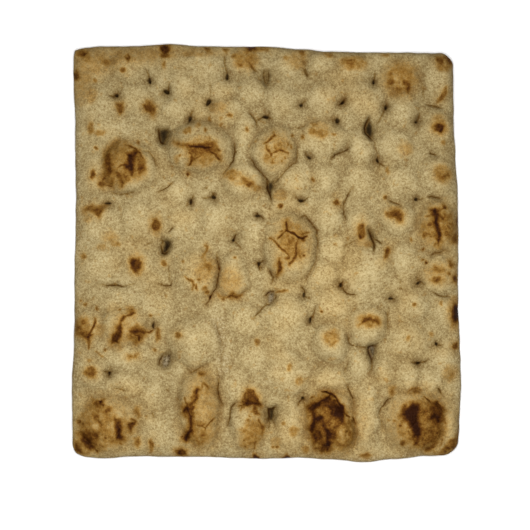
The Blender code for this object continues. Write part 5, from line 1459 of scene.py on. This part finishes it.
class Value:
    """A number in a material: arithmetic on it adds Math nodes."""

    def __init__(self, nodes: "Nodes", socket: Socket) -> None:
        """Wraps one output socket."""
        self.nodes = nodes
        self.socket = socket

    def _math(self, operation: str, first: "Value | float", second: "Value | float") -> "Value":
        """Adds one Math node."""
        node = self.nodes.add("ShaderNodeMath", {"operation": operation}, {0: first, 1: second})
        return Value(self.nodes, node.outputs[0])

    def __add__(self, other: "Value | float") -> "Value":
        """self + other."""
        return self._math("ADD", self, other)

    def __radd__(self, other: float) -> "Value":
        """other + self."""
        return self._math("ADD", other, self)

    def __sub__(self, other: "Value | float") -> "Value":
        """self - other."""
        return self._math("SUBTRACT", self, other)

    def __rsub__(self, other: float) -> "Value":
        """other - self."""
        return self._math("SUBTRACT", other, self)

    def __mul__(self, other: "Value | float") -> "Value":
        """self * other."""
        return self._math("MULTIPLY", self, other)

    def __rmul__(self, other: float) -> "Value":
        """other * self."""
        return self._math("MULTIPLY", other, self)

    def over(self, other: "Value | float") -> "Value":
        """The larger of the two."""
        return self._math("MAXIMUM", self, other)

    def ramp(self, start: float, end: float, low: float = 0.0, high: float = 1.0) -> "Value":
        """Goes smoothly from low to high as the number goes from start to end.

        Args:
            start: Where the ramp begins.
            end: Where it ends.
            low: What it gives before its start.
            high: What it gives past its end.

        Returns:
            The ramped number.
        """
        settings = {"interpolation_type": "SMOOTHSTEP"}
        values = {"Value": self, "From Min": start, "From Max": end, "To Min": low, "To Max": high}
        node = self.nodes.add("ShaderNodeMapRange", settings, values)
        return Value(self.nodes, node.outputs[0])


class Nodes:
    """A material's node tree, filled in by one method."""

    def __init__(self, material: bpy.types.Material) -> None:
        """Empties the material's tree.

        Args:
            material: The material to fill.
        """
        material.use_nodes = True
        self.tree = material.node_tree
        self.tree.nodes.clear()

    def add(self, kind: str, settings: dict, values: dict) -> bpy.types.Node:
        """Adds a node.

        Args:
            kind: The node's type.
            settings: Its properties, set first, with a colour ramp's stops under "stops".
            values: What each input socket gets: a number, a colour, a socket or a Value.

        Returns:
            The new node.
        """
        node = self.tree.nodes.new(kind)
        for name, setting in settings.items():
            if name == "stops":
                self.fill_ramp(node.color_ramp, setting)
            else:
                setattr(node, name, setting)
        for name, value in values.items():
            source = value.socket if isinstance(value, Value) else value
            if isinstance(source, Socket):
                self.tree.links.new(source, node.inputs[name])
            else:
                node.inputs[name].default_value = source
        return node

    def fill_ramp(self, ramp: bpy.types.ColorRamp, stops: tuple[tuple[float, Shade], ...]) -> None:
        """Sets a colour ramp's stops.

        Args:
            ramp: The ramp to fill.
            stops: Its places and colours.
        """
        while len(ramp.elements) > 1:
            ramp.elements.remove(ramp.elements[-1])
        for index, (place, shade) in enumerate(stops):
            element = ramp.elements[0] if index == 0 else ramp.elements.new(place)
            element.position = place
            element.color = (*shade, 1.0)

    def attribute(self, name: str) -> Value:
        """The mesh's own number of that name."""
        node = self.add("ShaderNodeAttribute", {"attribute_name": name}, {})
        return Value(self, node.outputs["Fac"])

    def noise(self, place: Socket, size: float, detail: float = 2.0, rough: float = 0.5) -> Value:
        """Soft noise from 0 to 1, with lumps of about that size in millimetres."""
        values = {"Vector": place, "Scale": 1.0 / size, "Detail": detail, "Roughness": rough}
        return Value(self, self.add("ShaderNodeTexNoise", {}, values).outputs[0])

    def cells(self, place: Socket, size: float) -> Value:
        """Distance from the middles of random cells of about that size in millimetres."""
        values = {"Vector": place, "Scale": 1.0 / size, "Randomness": 1.0}
        return Value(self, self.add("ShaderNodeTexVoronoi", {}, values).outputs["Distance"])

    def mix(self, share: Value | float, first: object, second: object, blend: str = "MIX") -> Socket:
        """Blends two colours.

        Args:
            share: How much of the second colour there is, from 0 to 1.
            first: The first colour, or its socket.
            second: The second colour, or its socket.
            blend: The blend type.

        Returns:
            The blended colour's socket.
        """
        settings = {"data_type": "RGBA", "blend_type": blend, "clamp_factor": True}
        return self.add("ShaderNodeMix", settings, {0: share, 6: first, 7: second}).outputs[2]


@dataclass(frozen=True)
class Specks:
    """Noise turned into a share: its size in millimetres, detail, roughness, range and ends."""

    size: float
    detail: float
    rough: float
    start: float
    end: float
    low: float = 0.0
    high: float = 1.0

    def share(self, nodes: Nodes, place: Socket) -> Value:
        """The share at each place: low where the noise is under the start, high past the end."""
        noise = nodes.noise(place, self.size, self.detail, self.rough)
        return noise.ramp(self.start, self.end, self.low, self.high)


@dataclass(frozen=True)
class CrustFinish:
    """The baked crust: mottled dough with bran, toasted ochre to char, and holes that are moist or darkened
    by painted shade.

    The mottling and the blotches are sums of noises, each with its size in millimetres, detail,
    roughness and share.
    """

    dough: tuple[Shade, Shade, Shade] = ((0.171, 0.111, 0.041), (0.285, 0.215, 0.095), (0.398, 0.318, 0.163))
    dough_tones: tuple[float, float, float] = (0.15, 0.5, 0.85)
    mottling: Layers = (
        (26.0, 2.0, 0.5, 0.30),
        (6.5, 3.0, 0.6, 0.34),
        (1.9, 3.0, 0.65, 0.74),
        (0.80, 2.0, 0.6, 1.15),
        (0.38, 1.0, 0.5, 0.95),
    )
    # Painted shade and light: dough in hollows is darker, dough on rises paler.
    pillow_shade_share: float = 0.18
    blotches: Layers = ((2.6, 4.0, 0.65, 2.08), (0.8, 3.0, 0.7, 1.76))
    blotched_heat: float = 1.35
    freckles: Specks = Specks(2.6, 2.0, 0.5, 0.60, 0.74, 0.0, 0.20)
    drift: Specks = Specks(21.0, 2.0, 0.5, 0.50, 0.72, 0.0, 0.13)
    underside_spots: Specks = Specks(7.5, 3.0, 0.55, 0.46, 0.72, 0.16, 0.74)
    bake_tints: tuple[tuple[float, Shade], ...] = (
        (0.00, (1.0, 1.0, 1.0)),
        (0.14, (0.98, 0.905, 0.79)),
        (0.27, (0.91, 0.75, 0.53)),
        (0.43, (0.705, 0.50, 0.235)),
        (0.56, (0.495, 0.30, 0.100)),
        (0.68, (0.315, 0.158, 0.038)),
        (0.85, (0.167, 0.069, 0.0145)),
        (1.00, (0.060, 0.020, 0.008)),
    )
    bran: Shade = (0.170, 0.095, 0.030)
    bran_size: Specks = Specks(5.0, 1.0, 0.5, 0.35, 0.7, 0.05, 0.26)
    bran_cell: float = 2.3
    bran_edge: float = 0.09
    bran_share: float = 0.55
    # Painted shade: the tint of the dips, valleys and steep flanks.
    shade_tint: Shade = (0.50, 0.40, 0.24)
    dip_shade: float = 0.45
    valley_shade: float = 0.17
    flank_shade: float = 0.17
    # Painted shade in the holes, near black at their middles.
    hole_shade_tints: tuple[tuple[float, Shade], ...] = (
        (0.00, (1.0, 1.0, 1.0)),
        (0.30, (0.68, 0.62, 0.50)),
        (0.65, (0.20, 0.172, 0.135)),
        (1.00, (0.040, 0.034, 0.027)),
    )
    # Painted shade in the creases, darkest at their middles.
    crease_shade_tints: tuple[tuple[float, Shade], ...] = (
        (0.00, (1.0, 1.0, 1.0)),
        (0.35, (0.66, 0.55, 0.34)),
        (0.65, (0.37, 0.26, 0.12)),
        (1.00, (0.17, 0.095, 0.035)),
    )
    moist_floor: tuple[Shade, Shade] = (0.050, 0.034, 0.015), (0.310, 0.252, 0.155)
    floor_specks: Specks = Specks(0.9, 3.0, 0.7, 0.36, 0.66)
    # The pale tint of the floury dusting and of the painted light on the rims.
    dust_and_rim_light: Shade = (0.44, 0.37, 0.25)
    dust_and_rim_light_specks: Specks = Specks(0.8, 3.0, 0.7, 0.50, 0.66, 0.05, 1.0)
    dust_and_rim_light_share: float = 0.6
    dust_and_rim_light_burnt: tuple[float, float] = (0.25, 0.55)
    roughness: float = 0.80
    shiny_heat: tuple[float, float] = (0.3, 0.9)
    heat_shine: float = 0.18
    moist_shine: float = 0.35
    specular: float = 0.04
    grain_depth: float = 0.20
    crumbs: tuple[float, float, float] = (0.9, 4.0, 0.7)
    fine_crumbs: tuple[float, float, float] = (0.38, 2.0, 0.6)
    fine_crumb_share: float = 0.5
    pore_cell: float = 1.7
    pore_edge: float = 0.22
    pore_share: float = 0.35
    crumbly_heat: tuple[float, float] = (0.3, 0.8)
    crumbly_share: float = 0.5

    def material(self) -> bpy.types.Material:
        """Makes the crust's material from the bread's own numbers and places.

        Returns:
            The material.
        """
        material = bpy.data.materials.new("crust")
        nodes = Nodes(material)
        place = self.millimetres(nodes)
        heat = self.uneven_heat(nodes, place)
        colour = self.dough_colour(nodes, place)
        tint = nodes.add("ShaderNodeValToRGB", {"stops": self.bake_tints}, {0: heat}).outputs[0]
        colour = nodes.mix(1.0, colour, tint, "MULTIPLY")
        # Painted light and shade: the wide zones and the blisters' crowns scale the colour up or down.
        colour = self.scaled(nodes, colour, 1.0 + nodes.attribute("painted_light"))
        colour = self.cavities(nodes, place, colour)
        surface = {
            "Base Color": colour,
            "Roughness": self.gloss(nodes, heat),
            "Specular IOR Level": self.specular,
            "Normal": self.grain(nodes, place, heat),
        }
        shader = nodes.add("ShaderNodeBsdfPrincipled", {}, surface)
        nodes.add("ShaderNodeOutputMaterial", {}, {"Surface": shader.outputs[0]})
        return material

    def millimetres(self, nodes: Nodes) -> Socket:
        """The place on the bread, in millimetres."""
        place = nodes.add("ShaderNodeTexCoord", {}, {}).outputs["Object"]
        return self.scaled(nodes, place, 1.0 / METRES_PER_MM)

    def scaled(self, nodes: Nodes, vector: Socket, factor: Value | float) -> Socket:
        """The place or colour, times a number."""
        node = nodes.add("ShaderNodeVectorMath", {"operation": "SCALE"}, {0: vector, "Scale": factor})
        return node.outputs[0]

    def layered(self, nodes: Nodes, place: Socket, base: Value | float, layers: Layers) -> Value:
        """Adds layers of noise to a base.

        Args:
            nodes: The material's nodes.
            place: The place on the bread.
            base: What the noise is added to.
            layers: The noises and their shares.

        Returns:
            The sum.
        """
        for size, detail, rough, share in layers:
            base = base + (nodes.noise(place, size, detail, rough) - 0.5) * share
        return base

    def uneven_heat(self, nodes: Nodes, place: Socket) -> Value:
        """Gives the heat ragged edges, freckles of ochre and a spotted underside.

        Args:
            nodes: The material's nodes.
            place: The place on the bread.

        Returns:
            The heat, from 0 up.
        """
        heat = nodes.attribute("toast")
        blotch = self.layered(nodes, place, 0.0, self.blotches)
        heat = heat + heat * (self.blotched_heat - heat) * blotch
        ochre = self.freckles.share(nodes, place) + self.drift.share(nodes, place)
        below = nodes.attribute("underside") * self.underside_spots.share(nodes, place)
        return heat.over(ochre) + below

    def dough_colour(self, nodes: Nodes, place: Socket) -> Socket:
        """Makes the pale, mottled dough with bran flecks, painted shade in hollows and painted light on
        rises.

        Args:
            nodes: The material's nodes.
            place: The place on the bread.

        Returns:
            The colour's socket.
        """
        # Painted shade and light: dough lying below its surroundings is darker, dough standing above them
        # paler.
        middle = 0.5 + nodes.attribute("pillow") * self.pillow_shade_share
        tone = self.layered(nodes, place, middle, self.mottling)
        stops = tuple(zip(self.dough_tones, self.dough))
        colour = nodes.add("ShaderNodeValToRGB", {"stops": stops}, {0: tone}).outputs[0]
        cells = nodes.cells(place, self.bran_cell)
        fleck = (self.bran_size.share(nodes, place) - cells).ramp(0.0, self.bran_edge)
        return nodes.mix(fleck * self.bran_share, colour, (*self.bran, 1.0))

    def cavities(self, nodes: Nodes, place: Socket, colour: Socket) -> Socket:
        """Lays painted shade into the dips, valleys, steep flanks, creases and holes, lays in the moist
        floors, and adds the floury dusting with painted light along the rims.

        Args:
            nodes: The material's nodes.
            place: The place on the bread.
            colour: The colour so far.

        Returns:
            The colour's socket.
        """
        # Painted shade: the dips round openings, the soft valleys of creases and the steep flanks darken
        # towards the shade tint.
        shade = (nodes.attribute("dip") * self.dip_shade).over(nodes.attribute("valley") * self.valley_shade)
        shade = shade + nodes.attribute("slope_shade") * self.flank_shade
        colour = nodes.mix(shade, colour, (*self.shade_tint, 1.0), "MULTIPLY")
        # Painted shade in the creases and in the holes.
        for name, tints in (("crease", self.crease_shade_tints), ("hole_shade", self.hole_shade_tints)):
            ramp = nodes.add("ShaderNodeValToRGB", {"stops": tints}, {0: nodes.attribute(name)})
            colour = nodes.mix(1.0, colour, ramp.outputs[0], "MULTIPLY")
        dark, pale = self.moist_floor
        floor = nodes.mix(self.floor_specks.share(nodes, place), (*dark, 1.0), (*pale, 1.0))
        colour = nodes.mix(nodes.attribute("moist"), colour, floor)
        # Floury dusting, and painted light along the rims.
        dust_and_rim_light = nodes.attribute("flour_and_rim_light") * self.dust_and_rim_light_specks.share(nodes, place)
        dust_and_rim_light = dust_and_rim_light * (1.0 - nodes.attribute("toast").ramp(*self.dust_and_rim_light_burnt))
        return nodes.mix(dust_and_rim_light * self.dust_and_rim_light_share, colour, (*self.dust_and_rim_light, 1.0))

    def gloss(self, nodes: Nodes, heat: Value) -> Value:
        """Roughness: toasted skin and moist floors are a little smoother than floury dough."""
        shine = heat.ramp(*self.shiny_heat) * self.heat_shine
        return self.roughness - (shine + nodes.attribute("moist") * self.moist_shine)

    def grain(self, nodes: Nodes, place: Socket, heat: Value) -> Socket:
        """Makes the fine crumbly grain with its pores, deeper where the skin has baked.

        Args:
            nodes: The material's nodes.
            place: The place on the bread.
            heat: How far each place has baked.

        Returns:
            The bumped normal's socket.
        """
        fine = nodes.noise(place, *self.fine_crumbs) * self.fine_crumb_share
        crumbs = nodes.noise(place, *self.crumbs) + fine
        pores = nodes.cells(place, self.pore_cell).ramp(0.0, self.pore_edge) * self.pore_share
        relief = crumbs + pores + crumbs * heat.ramp(*self.crumbly_heat) * self.crumbly_share
        bump = {"Strength": 1.0, "Distance": METRES_PER_MM, "Height": relief * self.grain_depth}
        return nodes.add("ShaderNodeBump", {}, bump).outputs[0]


@dataclass(frozen=True)
class FlourAndRimLightLine(Line):
    """A pale line: floury dusting, and along the rims also painted light from the pale floor."""

    amount: float
    reach: float
    route: Route


# The first line is floury dusting on the top; the lines along the edges are dusting and painted light on the
# rims, strongest on the near edge.
FLOUR_AND_RIM_LIGHT_LINES = each(
    FlourAndRimLightLine,
    (0.55, 3, ((-19.5, -28), (-16.8, -37), (-17.5, -47))),
    (0.75, 1.8, ((-64, -82.3), (-40, -82), (-20, -82.3))),
    (0.75, 1.8, ((-20, -82.3), (10, -82.6), (36, -83.6), (62, -82))),
    (0.45, 1.8, ((77.4, -60), (76.9, 0), (76.5, 40), (75.2, 70))),
    (0.3, 1.6, ((-77.2, -60), (-76.2, 0), (-76.6, 60))),
)


@dataclass(frozen=True)
class Flatbread:
    """The bread itself: one closed piece with a finely worked top and rim."""

    outline: Outline = Outline()
    relief: Relief = Relief()
    browning: Browning = Browning()
    finish: CrustFinish = CrustFinish()
    cell: float = 2.88
    rim_rows: int = 5
    rim_levels: tuple[float, float] = (0.1, 0.99)
    level_gap: float = 0.01
    fine_share: float = 0.30
    detail_shares: tuple[float, float, float] = (1.2, 2.0, 0.9)
    worked_openings: tuple[float, float] = (0.6, 1.2)
    worked_heat: tuple[float, float] = (0.25, 0.5)
    least_detail: float = 0.02
    scorch_shiver: float = 0.75
    top_from: tuple[float, float] = (0.1, 0.4)
    underside_to: tuple[float, float] = (0.0, 0.35)
    # Painted light on the blisters' crowns, painted shade away from them.
    crown_light: float = 0.12
    # How strongly the painted shade of the creases shows.
    crease_shade_gain: float = 1.15
    pillow_height: float = 0.55
    pillow_range: tuple[float, float] = (-1.8, 0.9)
    steep: float = 0.75

    def build(self) -> bpy.types.Object:
        """Builds the bread and lets it stand for the frame's solid.

        Returns:
            The bread's object.
        """
        blank = self.blank()
        self.refine(blank)
        numbers = self.shape(blank)
        bmesh.ops.recalc_face_normals(blank, faces=blank.faces)
        bmesh.ops.triangulate(blank, faces=blank.faces)
        bmesh.ops.transform(blank, matrix=Matrix.Scale(METRES_PER_MM, 4), verts=blank.verts)
        mesh = bpy.data.meshes.new("flatbread_crust")
        blank.to_mesh(mesh)
        blank.free()
        self.keep_numbers(mesh, numbers)
        mesh.shade_smooth()
        mesh.materials.append(self.finish.material())
        bread = bpy.data.objects.new("flatbread_crust", mesh)
        bpy.context.scene.collection.objects.link(bread)
        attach(bread, "root")
        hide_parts("flatbread")
        return bread

    def blank(self) -> bmesh.types.BMesh:
        """Makes a slab from -1 to 1 each way: z is 0 below and 1 above, with rows for the rim.

        Returns:
            The slab.
        """
        blank = bmesh.new()
        across = round((self.outline.width - 2.0 * self.outline.rim_radius) / self.cell)
        along = round((self.outline.length - 2.0 * self.outline.rim_radius) / self.cell)
        bmesh.ops.create_grid(blank, x_segments=across, y_segments=along, size=1.0)
        added = bmesh.ops.extrude_face_region(blank, geom=blank.faces[:])["geom"]
        raised = [item for item in added if isinstance(item, bmesh.types.BMVert)]
        bmesh.ops.translate(blank, vec=Vector((0.0, 0.0, 1.0)), verts=raised)
        upright = [edge for edge in blank.edges if abs(edge.verts[0].co.z - edge.verts[1].co.z) > 0.5]
        bmesh.ops.subdivide_edges(blank, edges=upright, cuts=self.rim_rows)
        return blank

    def refine(self, blank: bmesh.types.BMesh) -> None:
        """Quarters the top's cells, and halves those again that hold a hole, crease or scorch.

        Args:
            blank: The slab from blank(), which is changed.
        """
        lowest, highest = self.rim_levels
        top = [edge for edge in blank.edges if min(vert.co.z for vert in edge.verts) > lowest]
        level = [edge for edge in top if abs(edge.verts[0].co.z - edge.verts[1].co.z) < self.level_gap]
        bmesh.ops.subdivide_edges(blank, edges=level, cuts=3, use_grid_fill=True)
        faces = [face for face in blank.faces if min(vert.co.z for vert in face.verts) > highest]
        middles = np.array([face.calc_center_median() for face in faces])
        x, y = self.outline.place(middles[:, 0], middles[:, 1], np.full(len(faces), self.outline.rim_radius))
        wanted = self.detail(x, y)
        count = int(self.fine_share * len(faces))
        chosen = np.argsort(-wanted, kind="stable")[:count]
        edges = {edge for index in chosen for edge in faces[index].edges if wanted[index] > self.least_detail}
        inner = sorted((edge for edge in edges if self.is_inner(edge)), key=lambda edge: edge.index)
        bmesh.ops.subdivide_edges(blank, edges=inner, cuts=1, use_grid_fill=True)

    def is_inner(self, edge: bmesh.types.BMEdge) -> bool:
        """True if both faces of the edge lie in the top."""
        return all(vert.co.z > self.rim_levels[1] for face in edge.link_faces for vert in face.verts)

    def detail(self, x: Array, y: Array) -> Array:
        """Works out how much small detail there is at each place, from 0 up.

        Args:
            x: Places across the bread.
            y: Places along the bread.

        Returns:
            The amount at each place.
        """
        narrow, _ = self.relief.crease_lines(x, y)
        docked, blown = self.relief.openings(x, y)
        heat = self.browning.heat(*self.relief.shivered(x, y, self.scorch_shiver))
        opened = fall(np.minimum(docked, blown), *self.worked_openings)
        creased, open_share, baked = self.detail_shares
        return creased * narrow + open_share * opened + baked * grow(heat, *self.worked_heat)

    def shape(self, blank: bmesh.types.BMesh) -> dict[str, Array]:
        """Moves every point to its place and works out the numbers that its finish needs.

        Args:
            blank: The slab from blank(), which is changed.

        Returns:
            The numbers of each point, by name.
        """
        blank.verts.ensure_lookup_table()
        flat = np.array([vert.co for vert in blank.verts])
        level = flat[:, 2]
        x, y = self.outline.place(flat[:, 0], flat[:, 1], self.outline.inset(level))
        heat = self.browning.heat(*self.relief.shivered(x, y, self.scorch_shiver))
        top = self.relief.top(x, y, self.outline.edge_gap(x, y))
        top -= self.browning.shrivel(x, y, heat)
        bottom = self.relief.underside(x, y)
        z = bottom + (np.maximum(top, self.relief.lowest_top) - bottom) * self.outline.rise(level)
        for vert, spot in zip(blank.verts, np.column_stack((x, y, z))):
            vert.co = spot
        numbers = self.surface_numbers(x, y)
        above = grow(level, *self.top_from)
        numbers = {name: values * above for name, values in numbers.items()}
        numbers["toast"] = heat * above
        numbers["underside"] = fall(level, *self.underside_to)
        return numbers

    def surface_numbers(self, x: Array, y: Array) -> dict[str, Array]:
        """Works out what the finish of the top needs at each place.

        Args:
            x: Places across the bread.
            y: Places along the bread.

        Returns:
            The numbers, by name.
        """
        narrow, valley = self.relief.crease_lines(x, y)
        dark, moist, dip = self.relief.floors(x, y)
        pillow, slope = self.relief.pillow(x, y)
        flour_and_rim_light = np.zeros(len(x))
        for line in FLOUR_AND_RIM_LIGHT_LINES:
            gap, _ = line.measure(x, y)
            flour_and_rim_light = np.maximum(flour_and_rim_light, line.amount * np.exp(-((gap / line.reach) ** 2)))
        # Painted light and shade of the wide zones.
        painted_light = np.zeros(len(x))
        for zone in LIGHT_ZONES:
            painted_light += zone.painted_light * np.exp(-(zone.measure(x, y)[0] ** 2))
        return {
            # Painted shade in the openings.
            "hole_shade": dark,
            "dip": dip,
            # Painted shade along the creases.
            "crease": np.clip(self.crease_shade_gain * narrow, 0.0, 1.0),
            "valley": valley,
            "moist": moist,
            # Floury dusting and painted light on the rims.
            "flour_and_rim_light": flour_and_rim_light,
            "pillow": np.clip(pillow / self.pillow_height, *self.pillow_range),
            # Painted shade on the steep flanks of the blisters.
            "slope_shade": ease(slope / self.steep),
            # Painted light on the blisters' crowns and painted shade away from them, added to the zones.
            "painted_light": painted_light + self.crown_light * (self.relief.crown(x, y) - 0.5),
        }

    def keep_numbers(self, mesh: bpy.types.Mesh, numbers: dict[str, Array]) -> None:
        """Stores the numbers of each point on the mesh.

        Args:
            mesh: The mesh to store them on.
            numbers: The numbers of each point, by name.
        """
        for name, values in numbers.items():
            layer = mesh.attributes.new(name, "FLOAT", "POINT")
            layer.data.foreach_set("value", values.astype(np.float32))


@dataclass(frozen=True)
class Studio:
    """A pale floor, one large soft light overhead, and the camera that looks down on the bread."""

    floor_size: float = 3.0
    floor_shade: Shade = (0.86, 0.86, 0.86)
    floor_roughness: float = 0.9
    sky_shade: Shade = (1.0, 0.99, 0.97)
    sky_strength: float = 0.10
    light_size: float = 0.30
    light_power: float = 2.65
    light_place: Shade = (0.0, -0.020, 0.38)
    target: Shade = (-0.00055, -0.005, 0.0025)
    distance: float = 0.85
    elevation: float = 88.5
    lens: float = 143.6
    sensor: float = 36.0
    clip_start: float = 0.01

    def build(self) -> None:
        """Sets up the floor, the lights, the camera and how colours are shown."""
        self.floor()
        self.light()
        self.sky()
        self.camera()
        bpy.context.scene.view_settings.view_transform = "Standard"

    def floor(self) -> bpy.types.Object:
        """Makes the floor.

        Returns:
            The floor's object.
        """
        sheet = bmesh.new()
        bmesh.ops.create_grid(sheet, x_segments=1, y_segments=1, size=self.floor_size / 2.0)
        mesh = bpy.data.meshes.new("studio_floor")
        sheet.to_mesh(mesh)
        sheet.free()
        material = bpy.data.materials.new("studio_floor")
        nodes = Nodes(material)
        surface = {
            "Base Color": (*self.floor_shade, 1.0),
            "Roughness": self.floor_roughness,
            "Specular IOR Level": 0.0,
        }
        shader = nodes.add("ShaderNodeBsdfPrincipled", {}, surface)
        nodes.add("ShaderNodeOutputMaterial", {}, {"Surface": shader.outputs[0]})
        mesh.materials.append(material)
        floor = bpy.data.objects.new("studio_floor", mesh)
        bpy.context.scene.collection.objects.link(floor)
        return floor

    def light(self) -> None:
        """Hangs the soft light over the bread."""
        lamp = bpy.data.lights.new("soft_light", "AREA")
        lamp.shape = "DISK"
        lamp.size = self.light_size
        lamp.energy = self.light_power
        holder = bpy.data.objects.new("soft_light", lamp)
        holder.location = self.light_place
        holder.visible_camera = False
        bpy.context.scene.collection.objects.link(holder)

    def sky(self) -> None:
        """Fills the room with pale light from all round."""
        world = bpy.data.worlds.new("studio")
        world.use_nodes = True
        background = world.node_tree.nodes["Background"]
        background.inputs["Color"].default_value = (*self.sky_shade, 1.0)
        background.inputs["Strength"].default_value = self.sky_strength
        bpy.context.scene.world = world

    def camera(self) -> None:
        """Places the camera, looking down at the bread from just short of overhead."""
        lens = bpy.data.cameras.new("camera")
        lens.lens = self.lens
        lens.sensor_width = self.sensor
        lens.clip_start = self.clip_start
        tilt = math.radians(self.elevation)
        away = Vector((0.0, -math.cos(tilt), math.sin(tilt))) * self.distance
        holder = bpy.data.objects.new("camera", lens)
        holder.location = Vector(self.target) + away
        holder.rotation_euler = (math.pi / 2.0 - tilt, 0.0, 0.0)
        bpy.context.scene.collection.objects.link(holder)
        bpy.context.scene.camera = holder


def main() -> None:
    """Builds the bread and its studio, and reports each."""
    logging.basicConfig(level=logging.INFO, format="%(name)s: %(message)s")
    bread = Flatbread().build()
    log.info("%s: %d triangles", bread.name, len(bread.data.polygons))
    Studio().build()
    log.info("studio: floor, light, sky and camera")


if __name__ == "__main__":
    main()
